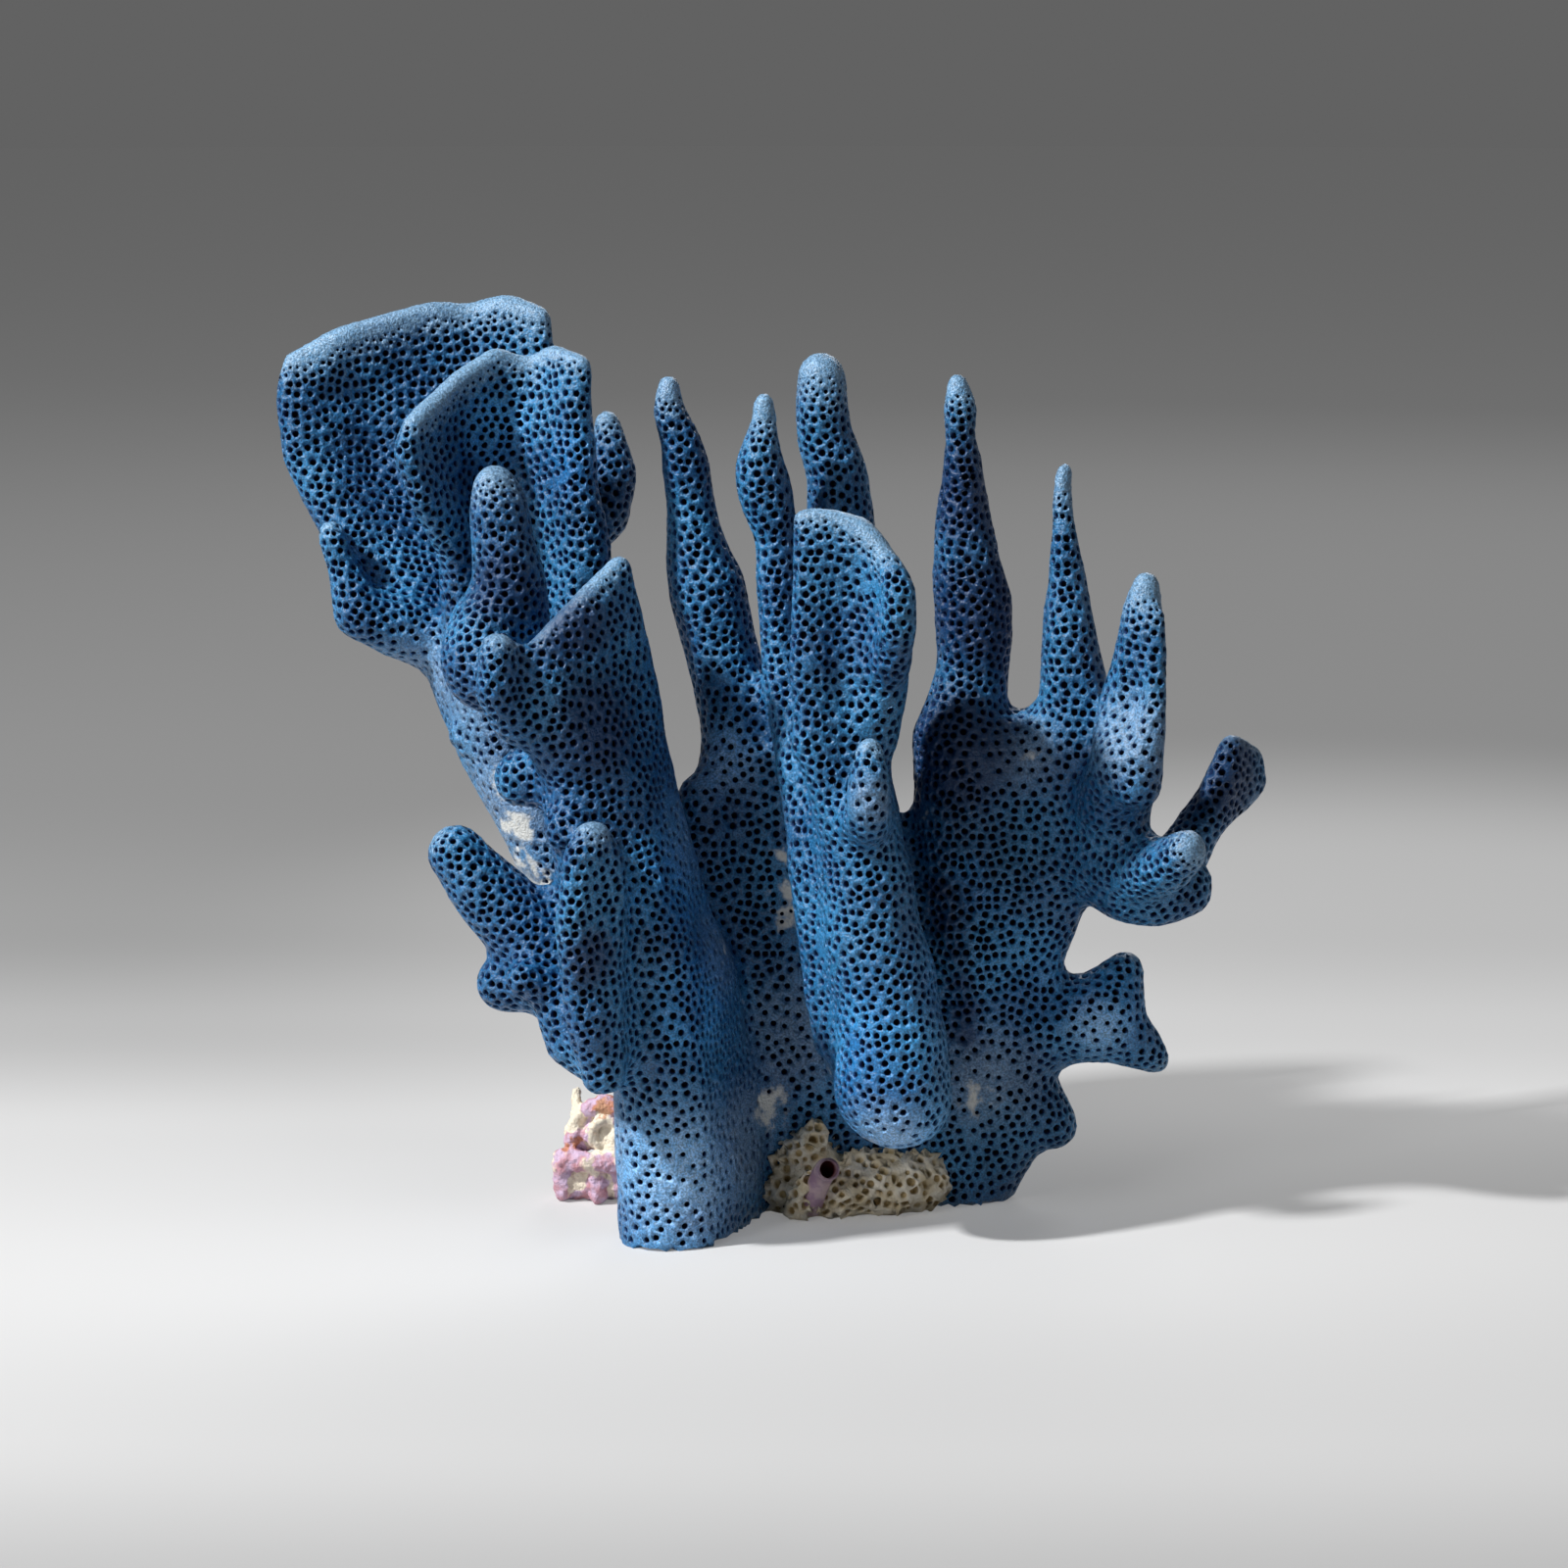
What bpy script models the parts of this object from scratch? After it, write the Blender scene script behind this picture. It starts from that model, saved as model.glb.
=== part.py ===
"""Blue ridge coral: a dried colony cut off flat at its foot, with two crusts and a worm tube on it.

The colony is a medial skeleton. A ball is (x, y, z, radius) in millimetres, a limb is the hull of each ball
with the next one, a sheet is the hull of each four neighbouring balls of a grid, and a column is the hull of
each whole row with the next one. The front is -Y. Each node fuses its own hulls, smooths them and is fitted
against the nodes that carry it.
"""

import math

import bmesh
import bpy
from mathutils import Matrix, Vector

MM = 0.001  # metres in a millimetre
SWELL = 0.5 * MM  # growth of a cutter, which leaves a clearance of about 0.3 mm between two nodes
VOXEL = 1 * MM  # size at which a node's hulls are fused
ROUNDING = 4  # smoothing passes after the fusing
LUMP_SIZE = 11 * MM  # width of the gentle lumps of the skeleton
LUMP_HEIGHT = 1.3 * MM  # their height, from hollow to crest
KEPT_FACES = 0.028  # share of the fused faces that a node keeps
CENTRE = Vector((-0.9, -2.8, 0)) * MM  # middle of the colony's box on the floor, which becomes the origin
FLOOR_DEPTH = 60 * MM  # thickness of the block that saws the colony off at the floor


def limb(*balls):
    """Pairs of neighbouring balls: a finger, a stem or a knob."""
    return list(zip(balls, balls[1:]))


def sheet(*rows):
    """Fours of neighbouring balls: a fan, a blade or a broad column."""
    return [
        (low[i], low[i + 1], high[i], high[i + 1])
        for low, high in zip(rows, rows[1:])
        for i in range(len(low) - 1)
    ]


def column(*rows):
    """Whole rows of balls, each hulled with the next: a stem that isn't round."""
    return [(*low, *high) for low, high in zip(rows, rows[1:])]


# Each node comes after the ones that carry it, because it is trimmed against all nodes above it.
COLONY = {
    "root_trunk": sheet(
        [(-6, 6, -4, 9), (7, 8, -4, 10), (19, 9, -4, 10), (27, 9, -4, 8)],
        [(-7, 5, 12, 8.5), (6, 7, 12, 9.5), (20, 9, 12, 9.5), (30, 9, 12, 8)],
        [(-8, 5, 30, 8), (5, 6, 30, 8.5), (18, 8, 30, 8.5), (29, 8, 30, 7)],
        [(-9, 5, 52, 7.5), (2, 5, 52, 7.5), (12, 6, 52, 7), (24, 7, 46, 6)],
        [(-7, 5, 74, 6.5), (1, 5, 74, 6.5), (7, 7, 74, 6.5), (12, 7, 66, 5)],
    )
    + limb((-12.5, 1, 69, 4.5), (-12, 2, 62, 6), (-9, 4, 54, 7))
    + limb((-6, 8, 74, 6.5), (-4, 11, 44, 8), (-1, 13, 10, 9), (0, 13, -4, 9))
    + limb((8, 11, 74, 6.5), (10, 14, 46, 7.5), (13, 16, 14, 9), (14, 16, -4, 9)),
    "front_left_column": column(
        [(-19.2, -19, -4, 6.8), (-14.2, -20.6, -4, 4.6), (-8, -3, -4, 5.5)],
        [(-20.3, -18.6, 14, 6.6), (-14.4, -20.8, 14, 4.6), (-8, -3, 14, 5.5)],
        [(-20.5, -17.5, 29, 6), (-15.8, -21.6, 29, 4.8), (-10, -4, 29, 5.5)],
        [(-23, -17.5, 42, 7), (-17.5, -20.5, 42, 5.5), (-12.5, -7, 42, 5.8)],
        [(-26, -18, 50, 7.5), (-20, -20, 50, 6), (-16.5, -9.5, 50, 6)],
        [(-29, -19, 64, 7.5), (-24, -18, 64, 6.5), (-20, -11, 64, 6)],
        [(-30, -19.5, 76, 6.8), (-26, -17.5, 76, 6.5), (-22.5, -12.5, 76, 5.6)],
    )
    + limb((-34, -15, 76, 5.5), (-41, -16, 75.5, 4.6))
    + limb((-31, -19, 73, 6), (-33.3, -25, 68.8, 4)),
    "front_left_crest": sheet(
        [(-32, -21, 76, 5.5), (-28, -19, 76, 6.5), (-22.6, -12.5, 76, 5.6)],
        [(-36, -23.5, 86, 5), (-30, -19.5, 86, 5.8), (-24, -13.5, 86, 5.4)],
        [(-37, -25, 92, 4), (-31, -20.5, 95, 4.5), (-24.6, -14.5, 95, 4.5)],
        [(-36.9, -25.5, 97.5, 2.6), (-31, -22, 103.5, 2.4), (-25.2, -17, 109.3, 2.4)],
    )
    + limb((-43.7, -29, 97.5, 3.4), (-44, -28, 91.5, 4), (-41.5, -25.5, 86.5, 4.3), (-35, -22, 84, 5.5)),
    "front_lobe": sheet(
        [(-28.6, -31, 30, 2.8), (-26.4, -31, 30, 2.8)],
        [(-29.6, -32.2, 36, 3.2), (-27.2, -30.4, 36, 3.2)],
        [(-31.7, -33.4, 46, 3), (-27.7, -30.2, 46, 3)],
        [(-32.3, -33.9, 56, 3), (-26.6, -29.9, 56, 3)],
        [(-31.2, -33.8, 65.5, 2.8), (-27, -30.6, 65, 3)],
        [(-29.6, -33, 69.2, 2.4), (-28.2, -32.5, 69.2, 2.4)],
    )
    + sheet(
        [(-28, -31, 34, 2.4), (-25, -23, 34, 5)],
        [(-29, -31, 46, 2.4), (-26, -22.5, 46, 5)],
        [(-29.5, -32, 56, 2.4), (-26.5, -23, 56, 5)],
    ),
    "left_side_branch": limb(
        (-51.6, -18, 63.4, 4.8),
        (-48.4, -18, 59.6, 5.5),
        (-43.4, -18, 54.5, 6.2),
        (-38, -18, 48.5, 7),
        (-30, -17, 44, 8),
    )
    + limb((-44.2, -18, 42.2, 4.5), (-38, -18, 44.5, 6.5), (-31, -18, 40, 7.5))
    + limb((-40.3, -26.5, 44.8, 3.2), (-37, -24, 43.5, 4), (-33, -21, 41, 6))
    + limb((-34.8, -24, 40, 4.5), (-32.8, -24.5, 34.5, 5), (-28.8, -24, 32, 5.3), (-23, -19, 32, 6)),
    "rear_left_stem": sheet(
        [(-21, -6, 40, 7.5), (-20, 0, 40, 7.5)],
        [(-29, -2, 51, 7), (-29, 4, 51, 7)],
        [(-37, -1, 62, 7), (-37, 6, 62, 7.5)],
        [(-43.3, 1, 74, 6.5), (-43.5, 8, 73, 7.5)],
        [(-46, 2, 84, 6.5), (-49, 11, 83, 7.5)],
        [(-46, 1, 91, 6.5), (-52, 13, 90, 7)],
    )
    + limb((-51.8, 2, 79.3, 2.6), (-46, 3, 76, 5)),
    "rear_left_fan": sheet(
        [(-55, 15, 94, 6), (-50, 17, 95, 6), (-45, 18, 96, 6), (-41, 18, 97, 5), (-38, 17, 98, 4.5)],
        [
            (-69.5, 17, 108, 4.8),
            (-60, 21, 108, 4.6),
            (-51, 23, 108, 4.8),
            (-45, 23, 108, 4.6),
            (-40, 21, 109, 4.3),
        ],
        [
            (-78.8, 18, 123, 3.2),
            (-68, 24, 122, 3.5),
            (-57, 25, 121, 3.8),
            (-47, 26, 121, 3.7),
            (-40, 23, 122, 3.6),
        ],
        [
            (-80.3, 19, 131.5, 2.6),
            (-69, 24, 134, 3),
            (-58, 26, 136, 3.2),
            (-48, 26, 136, 3.1),
            (-39.9, 23, 135, 3.2),
        ],
    )
    + sheet(
        [
            (-80.3, 19, 131.5, 2.6),
            (-72.5, 22.5, 133, 2.8),
            (-65, 25, 134.5, 3),
            (-58, 26, 136, 3.2),
            (-51.5, 26, 136, 3.1),
            (-45.5, 25, 135.5, 3.1),
            (-39.9, 23, 135, 3.2),
        ],
        [
            (-80.2, 19, 138.8, 2),
            (-71.8, 20.5, 142.7, 2),
            (-64, 22.5, 145.3, 2),
            (-57.5, 24.5, 146.7, 2),
            (-51.3, 26, 146.3, 2),
            (-45, 25, 147.3, 2.2),
            (-39.3, 22.5, 145.8, 2),
        ],
    ),
    "rear_left_spur": limb(
        (-73.2, 8, 111.6, 2.2),
        (-71.2, 8, 105, 3),
        (-68.8, 8, 98.5, 4.6),
        (-62, 11, 96, 6),
        (-56, 14, 94, 6.5),
    ),
    "mid_left_fan": sheet(
        [(-44, 2, 82, 6), (-40, 5, 82, 6), (-36, 4, 82, 6), (-32, 1, 82, 5.2)],
        [(-50.5, 4, 98, 4.5), (-45, 8, 98, 4.6), (-38, 7, 98, 4.8), (-31.5, 1, 98, 4.7)],
        [(-52.6, 0, 110, 3.1), (-46.5, 9, 110, 4.2), (-39, 7.5, 110, 4.2), (-31.5, 1, 110, 4.2)],
        [(-57, -6, 119, 2.3), (-50.5, 6.5, 122, 3.1), (-41, 9, 122, 3.3), (-32.6, 1, 121, 3.3)],
        [(-59.6, -7, 126.2, 2), (-52.5, 3, 130, 2.5), (-42, 8.5, 131, 2.8), (-32.4, 1, 132, 2.7)],
    )
    + sheet(
        [
            (-59.6, -7, 126.2, 2),
            (-52.5, 3, 130, 2.5),
            (-46.5, 7, 131, 2.6),
            (-41, 8.5, 131, 2.7),
            (-37, 5.5, 131.5, 2.7),
            (-32.4, 1, 132, 2.7),
        ],
        [
            (-58.5, -6, 130.6, 1.7),
            (-51.4, 1.5, 137, 1.8),
            (-45.7, 5, 140.9, 1.8),
            (-40.3, 6.5, 138.7, 1.8),
            (-36.3, 4.5, 141, 1.9),
            (-31.6, 1, 139.8, 1.9),
        ],
    ),
    "fan_back_finger": limb(
        (-28.6, 22, 128.4, 2.6), (-27.6, 21, 120, 4.2), (-29.5, 20, 113.5, 4.7), (-38, 18, 106, 5)
    ),
    "left_thumb": limb(
        (-44.9, -14, 121.8, 3.8),
        (-44.3, -14, 118, 4.9),
        (-43.8, -14, 113, 5.3),
        (-43.2, -14, 107.5, 5.7),
        (-43, -13, 102.5, 6.7),
        (-43, -12, 96, 7.2),
        (-40, -12, 90, 7),
        (-37, -14, 86, 6),
    )
    + limb((-46.2, -15, 99.4, 6.6), (-47.8, -17, 94.6, 6.4), (-47.4, -17, 92.2, 6), (-40, -12, 90, 7)),
    "centre_spire": limb(
        (-17.9, 7, 136, 2.1),
        (-17.9, 7, 131.5, 2.6),
        (-16.1, 7, 126.5, 3.5),
        (-15.1, 8, 122, 4.2),
        (-14.7, 9, 116.5, 4.2),
        (-14, 9, 110, 4.8),
        (-11.8, 9, 102, 6.3),
        (-10.4, 9, 96, 6.4),
        (-8.8, 8, 89.5, 6),
        (-7, 6, 82, 6),
        (-6.5, 5, 74, 6.3),
    ),
    "centre_small_spire": limb(
        (-2.4, -1, 134, 1.7),
        (-2.4, -1, 131, 2),
        (-3.1, -1, 127.5, 3.1),
        (-3.2, -1, 124, 4),
        (-2.5, -1, 120.5, 4.4),
        (-1.3, -1, 116, 4.3),
        (-0.6, -1, 111.5, 3.6),
        (-0.1, -2, 103.5, 3.7),
        (0.5, -2, 94, 3.9),
        (1.8, -3, 85, 3.9),
        (3.2, -6, 77, 3.9),
    )
    + limb((1, 0, 88, 3.9), (3, 4, 82, 5), (4, 5, 74, 6)),
    "centre_blunt_finger": limb(
        (6.9, 10, 137, 4),
        (6.8, 10, 133.5, 4.2),
        (7.5, 10, 126.5, 4.8),
        (9.2, 10, 121.5, 5.3),
        (10, 10, 115, 5.8),
        (10, 10, 104, 6.2),
        (9, 9.5, 90, 6.4),
        (8, 9, 74, 6.8),
    ),
    "front_column": limb(
        (12, -18, 82, 5.5),
        (12.6, -19, 70, 6.4),
        (13.7, -19, 60, 7.4),
        (15, -19, 50, 8.2),
        (16.7, -19, 42, 9),
        (18, -20, 34, 8.8),
    )
    + column([(18, -20, 34, 8.8)], [(17.6, -20, 25, 8.7), (19.6, -20, 24.3, 8.8)])
    + limb(
        (3.2, -8, 76, 3.9),
        (5, -11, 65, 4.1),
        (6.4, -12.5, 53, 4.2),
        (7.6, -13.5, 41, 4),
        (9, -14, 32, 3.5),
    )
    + limb((5.5, -21, 83, 3.6), (7.8, -21, 76, 3.8), (10.8, -20.5, 69, 4.7))
    + sheet(
        [(14, -2, 26, 6.5), (17, -14, 28, 8)],
        [(11, -3, 42, 6.5), (15, -14, 42, 8.5)],
        [(9.5, -3, 60, 6.3), (13, -14, 60, 7.8)],
        [(8.5, -4, 74, 6), (11.5, -14, 74, 6.8)],
        [(7.5, -8, 84, 5), (10, -14, 84, 5.5)],
    )
    + limb(
        (14.2, -30.5, 82.3, 2.2),
        (14.2, -31, 78, 3.4),
        (14.2, -30.6, 73.2, 3.9),
        (14.2, -29, 70.4, 3.8),
        (14, -23, 70, 4.8),
    ),
    "front_ear": sheet(
        [(5.5, -21, 82, 4), (9, -18.5, 82, 5), (12.5, -18.5, 82, 5), (15, -19, 82, 4.3)],
        [(4.8, -21.5, 90, 3), (9, -18.2, 90, 4), (13, -18.2, 90, 4.2), (16.5, -20.5, 90, 3.8)],
        [(4, -21.5, 102, 2.4), (9, -18.6, 102, 3.2), (13.5, -19.3, 102, 3.3), (18, -23.5, 102, 3.4)],
        [(3.9, -21.5, 112, 2.1), (8.5, -20.8, 112, 2.6), (13, -21.3, 111.5, 2.8), (16.8, -24, 109.5, 2.8)],
    )
    + sheet(
        [(3.9, -21.5, 112, 2.1), (8.5, -20.8, 112, 2.6), (13, -21.3, 111.5, 2.8), (16.8, -24, 109.5, 2.8)],
        [
            (3.5, -22, 117.6, 1.8),
            (8, -22.3, 117.2, 1.9),
            (12.5, -23.2, 115.8, 2.1),
            (15.6, -25, 113.2, 2.2),
        ],
    )
    + limb((17.2, -27, 111, 2.2), (18.7, -28.6, 106.5, 2.9), (18.6, -28, 101, 3.1), (17.6, -24.5, 95, 3.2))
    + limb((10.5, -11.5, 82, 6.5), (10.5, -11.5, 96, 6), (11, -13.5, 106, 4.2)),
    "right_blade": sheet(
        [(25, 8, -4, 8), (28, 8, -4, 7.5), (30.5, 8, -4, 6)],
        [(29, 8, 10, 8), (35, 8, 12, 7), (39.5, 7, 13, 6)],
        [(31, 8, 32, 8), (37, 7, 34, 7.5), (40.5, 6, 34, 6.3)],
        [(30.5, 6, 43, 7.8), (37, 6, 43, 7.5), (41.2, 5, 43, 6)],
        [(30, 6, 50, 7.5), (38, 6, 51, 7.5), (45, 4, 52.5, 6)],
        [(29, 5, 63, 7), (39, 5, 64, 7.5), (52, 1, 64, 7)],
        [(29, 5, 78, 7.5), (39, 5, 76, 6.5), (49, 4, 78, 7.5)],
    )
    + limb((45.9, 6, 12.8, 4.4), (40.5, 7, 17, 6.5), (37, 8, 26, 7.5))
    + limb((31, 8, 76, 7), (33, 11, 46, 7.5), (31, 12, 10, 8), (27, 12, -4, 8)),
    "right_tall_spire": limb(
        (28.9, 6, 136.6, 1.7),
        (29.2, 6, 132.5, 2.7),
        (29.6, 6, 127, 2.3),
        (30, 6, 122, 3.4),
        (30.3, 7, 117, 4.4),
        (30.4, 7, 111.5, 5.2),
        (30.8, 7, 106, 5.7),
        (32, 7, 100, 6.3),
        (32, 7, 94.5, 6.2),
        (31.6, 7, 89.5, 6),
        (30.6, 6, 83, 7),
        (30.2, 5, 77, 8),
    ),
    "right_short_spire": limb(
        (46.3, 4, 122.4, 1.6),
        (46, 4, 119, 1.8),
        (46.1, 4, 114.5, 2.1),
        (46.5, 4, 109.5, 2.8),
        (47, 4, 104, 3.5),
        (47.2, 3, 98, 4.4),
        (47.8, 3, 92.5, 5.2),
        (48.3, 3, 87, 5.7),
        (48.3, 3, 78, 6.7),
    ),
    "right_ridge": limb(
        (58.7, -10, 105.6, 2.7),
        (58, -10, 101.5, 3.4),
        (57.5, -10, 97, 3.6),
        (57, -9, 92.5, 4),
        (56.8, -8, 88.5, 4.5),
        (56, -8, 83, 5.2),
        (55.5, -12, 76.5, 5.6),
        (54, -5, 69, 6.5),
    )
    + limb((60, -13, 101, 1.8), (60, -14, 88, 2.2), (58.5, -15.5, 79, 3), (57, -14, 74, 4.5)),
    "right_arm": limb(
        (65, -18, 63.8, 3.6),
        (62.5, -14, 60.8, 4.7),
        (59.5, -9, 59, 5.7),
        (53, -2, 60, 6.5),
    )
    + limb((66, -2, 54.8, 5.2), (61.5, -3, 54.2, 6), (57.5, -3, 55, 6), (51, 0, 59, 6.8)),
    "right_paddle": sheet(
        [(71, 6, 65, 3.2), (76.5, 12, 67.3, 2.6)],
        [(73, 6.5, 71.5, 2.9), (79.2, 14, 69.2, 2.3)],
        [(74.4, 7.5, 77, 1.9), (78.5, 13.5, 73.5, 2.2)],
    )
    + limb((73, 9.5, 67.5, 3.6), (69.5, 8, 63.5, 3.8), (66.5, 5, 58.5, 4.6), (62, 1, 54.5, 5.5)),
    "lower_right_branch": limb((57.2, 4, 39.8, 3.4), (55, 4, 34, 6.2), (50, 5, 31.3, 7), (43, 6, 29, 7.6))
    + limb((62.4, 4, 24.4, 2.8), (59.2, 4, 27.3, 4.4), (55.5, 4, 29.8, 5.8), (49, 5, 30.5, 7)),
}

# The crusts only touch the colony, so they are trimmed against all of it.
CRUSTS = {
    "cream_crust": limb(
        (1, 0, 3, 5), (7, -2, 3.5, 5.2), (14, -1.5, 4.5, 5.8), (20, -1, 4.5, 5.6), (23.5, 0, 4.5, 4.6)
    )
    + limb((2, 0, 8, 4.5), (5.5, -3.5, 12, 2.8))
    + limb((6, 0, 6, 6), (4, 2, 11, 4)),
    "pink_crust": limb((-34, 6, 2.5, 4.4), (-29, 5, 3.5, 5.2), (-20, 3, 4, 6), (-14, 1, 4, 6))
    + limb((-33, 6, 10.5, 4.2), (-30, 5, 14.5, 3.4), (-27, 4, 10, 5.5), (-20, 2, 8, 6), (-14, 0, 8, 6)),
}
WORM_TUBE = [(5.2, -5.5, 1.5), (5.8, -7.2, 4.2), (6.8, -8.8, 7.4), (7.6, -10.5, 9.4), (8.1, -12.6, 10)]
TUBE_RADIUS = 1.9  # outer; this and the next two are in millimetres
BORE_RADIUS = 1.25
CUTTER_REACH = 1  # how far the cutter of the bore goes past the mouth
BORE_DEPTH = 2  # how many of WORM_TUBE's points, which are its axis, the bore passes
TUBE_SIDES = 12
SIDEWAYS = Vector((1, 0, 0))  # where the first of a ring's points lies, so that the rings aren't twisted
CRUST_LUMP_SIZE = 3 * MM
CRUST_LUMP_HEIGHT = 2.2 * MM
CRUST_KEPT_FACES = 0.09

CORAL_ROUGHNESS = 0.6
TUBE_COLOUR = (0.42, 0.26, 0.34)
TUBE_ROUGHNESS = 0.5
CRUST_LOOKS = {  # colour and roughness of each crust
    "cream_crust": ((0.50, 0.42, 0.28), 0.85),
    "pink_crust": ((0.62, 0.40, 0.50), 0.7),
}
BLUES = {  # colour of a node from the deepest blue to the palest
    "deep": (0.030, 0.105, 0.235),
    "middle": (0.050, 0.145, 0.300),
    "pale": (0.110, 0.220, 0.400),
}
SHADES = {
    "deep": ("right_blade", "right_tall_spire", "right_paddle", "mid_left_fan", "centre_small_spire"),
    "pale": ("rear_left_stem", "front_lobe", "front_left_column", "lower_right_branch", "front_column"),
}


def clear_scene():
    for obj in list(bpy.data.objects):
        bpy.data.objects.remove(obj)


def material(name, colour, roughness):
    made = bpy.data.materials.new(name)
    made.use_nodes = True
    shader = made.node_tree.nodes["Principled BSDF"]
    shader.inputs["Base Color"].default_value = (*colour, 1)
    shader.inputs["Roughness"].default_value = roughness
    shader.inputs["Metallic"].default_value = 0
    return made


def object_of(name, bm):
    mesh = bpy.data.meshes.new(name)
    bm.to_mesh(mesh)
    bm.free()
    obj = bpy.data.objects.new(name, mesh)
    bpy.context.scene.collection.objects.link(obj)
    return obj


def ball_directions():
    """Evenly spread directions, from the corners of an icosphere."""
    bm = bmesh.new()
    bmesh.ops.create_icosphere(bm, subdivisions=2, radius=1)
    directions = [v.co.copy() for v in bm.verts]
    bm.free()
    return directions


def hulls(name, groups):
    """One object with the convex hull of each group of balls, still overlapping."""
    directions = ball_directions()
    bm = bmesh.new()
    for group in groups:
        corners = []
        for x, y, z, radius in group:
            centre = Vector((x, y, z)) * MM
            corners += [bm.verts.new(centre + d * radius * MM) for d in directions]
        made = bmesh.ops.convex_hull(bm, input=corners)
        inner = {v for v in made["geom_interior"] + made["geom_unused"] if isinstance(v, bmesh.types.BMVert)}
        bmesh.ops.delete(bm, geom=list(inner), context="VERTS")
    return object_of(name, bm)


def settle(obj):
    """Replaces the object's mesh by what its modifiers make of it."""
    graph = bpy.context.evaluated_depsgraph_get()
    mesh = bpy.data.meshes.new_from_object(obj.evaluated_get(graph))
    obj.modifiers.clear()
    before, obj.data = obj.data, mesh
    bpy.data.meshes.remove(before)


def lumps(name, size):
    texture = bpy.data.textures.new(name, "CLOUDS")
    texture.noise_scale = size
    texture.noise_depth = 1
    return texture


def grow(obj, texture, height, kept):
    """Fuses the hulls, rounds them, raises lumps of this height and thins the faces."""
    fuse = obj.modifiers.new("fuse", "REMESH")
    fuse.mode = "VOXEL"
    fuse.voxel_size = VOXEL
    rounding = obj.modifiers.new("round", "SMOOTH")
    rounding.factor = 0.5
    rounding.iterations = ROUNDING
    raising = obj.modifiers.new("lumps", "DISPLACE")
    raising.texture = texture
    raising.texture_coords = "GLOBAL"
    raising.strength = height
    raising.mid_level = 0.5
    thinning = obj.modifiers.new("thin", "DECIMATE")
    thinning.ratio = kept
    thinning.use_collapse_triangulate = True
    settle(obj)


def cut(obj, cutter):
    modifier = obj.modifiers.new("cut", "BOOLEAN")
    modifier.operation = "DIFFERENCE"
    modifier.solver = "MANIFOLD"  # EXACT drops the whole node where a grown cutter meets itself
    modifier.object = cutter
    settle(obj)


def floor_block():
    bm = bmesh.new()
    bmesh.ops.create_cube(bm, size=1)
    bmesh.ops.scale(bm, vec=(1, 1, FLOOR_DEPTH), verts=bm.verts)
    bmesh.ops.translate(bm, vec=(0, 0, -FLOOR_DEPTH / 2), verts=bm.verts)
    return object_of("floor_block", bm)


def swollen(obj):
    """A cutter that is the object, slightly grown."""
    bm = bmesh.new()
    bm.from_mesh(obj.data)
    bm.normal_update()
    for vert in bm.verts:
        vert.co += vert.normal * SWELL
    return object_of(obj.name + "_cutter", bm)


def keep_largest_body(obj):
    """Removes the crumbs that a trim leaves beside the body."""
    bm = bmesh.new()
    bm.from_mesh(obj.data)
    left = set(bm.verts)
    bodies = []
    while left:
        body = {left.pop()}
        edge = list(body)
        while edge:
            vert = edge.pop()
            near = [e.other_vert(vert) for e in vert.link_edges]
            new = [v for v in near if v not in body]
            body.update(new)
            edge += new
        left -= body
        bodies.append(body)
    bodies.sort(key=len)
    for body in bodies[:-1]:
        bmesh.ops.delete(bm, geom=list(body), context="VERTS")
    bm.to_mesh(obj.data)
    bm.free()


def paint(obj, made):
    obj.data.materials.clear()
    obj.data.materials.append(made)


def shade_of(node):
    for shade, nodes in SHADES.items():
        if node in nodes:
            return shade
    return "middle"


def grow_colony(floor):
    """The coral's nodes and, for each, the cutter that trims what grows on it."""
    texture = lumps("colony_lumps", LUMP_SIZE)
    paints = {shade: material("coral_" + shade, colour, CORAL_ROUGHNESS) for shade, colour in BLUES.items()}
    cutters = []
    for node, groups in COLONY.items():
        obj = hulls(node, groups)
        grow(obj, texture, LUMP_HEIGHT, KEPT_FACES)
        for cutter in [floor] + cutters:
            cut(obj, cutter)
        keep_largest_body(obj)
        paint(obj, paints[shade_of(node)])
        cutters.append(swollen(obj))
    return cutters


def tube_solid(name, rings, sides=TUBE_SIDES):
    """A closed solid through rings of (centre, direction, radius), with its two ends filled."""
    bm = bmesh.new()
    loops = []
    for centre, direction, radius in rings:
        across = (SIDEWAYS - direction * direction.dot(SIDEWAYS)).normalized()
        turned = [Matrix.Rotation(math.tau * i / sides, 3, direction) @ across for i in range(sides)]
        loops.append([bm.verts.new((centre + d * radius) * MM) for d in turned])
    for low, high in zip(loops, loops[1:]):
        for i in range(sides):
            bm.faces.new((low[i], low[i - 1], high[i - 1], high[i]))
    bm.faces.new(loops[0])
    bm.faces.new(reversed(loops[-1]))
    bmesh.ops.recalc_face_normals(bm, faces=bm.faces)
    return object_of(name, bm)


def worm_tube():
    """The tube with its open bore, and the cutter that makes its bed in the crust."""
    axis = [Vector(point) for point in WORM_TUBE]
    directions = [(b - a).normalized() for a, b in zip(axis, axis[1:])]
    directions.append(directions[-1])
    rings = [(c, d, TUBE_RADIUS) for c, d in zip(axis, directions)]
    bore = [(c, d, BORE_RADIUS) for c, d in zip(axis, directions)][-BORE_DEPTH:]
    bore.append((axis[-1] + directions[-1] * CUTTER_REACH, directions[-1], BORE_RADIUS))
    tube = tube_solid("worm_tube", rings)
    bed = swollen(tube)
    drill = tube_solid("bore_cutter", bore)
    cut(tube, drill)
    bpy.data.objects.remove(drill)
    paint(tube, material("worm_tube", TUBE_COLOUR, TUBE_ROUGHNESS))
    return tube, bed


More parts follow.
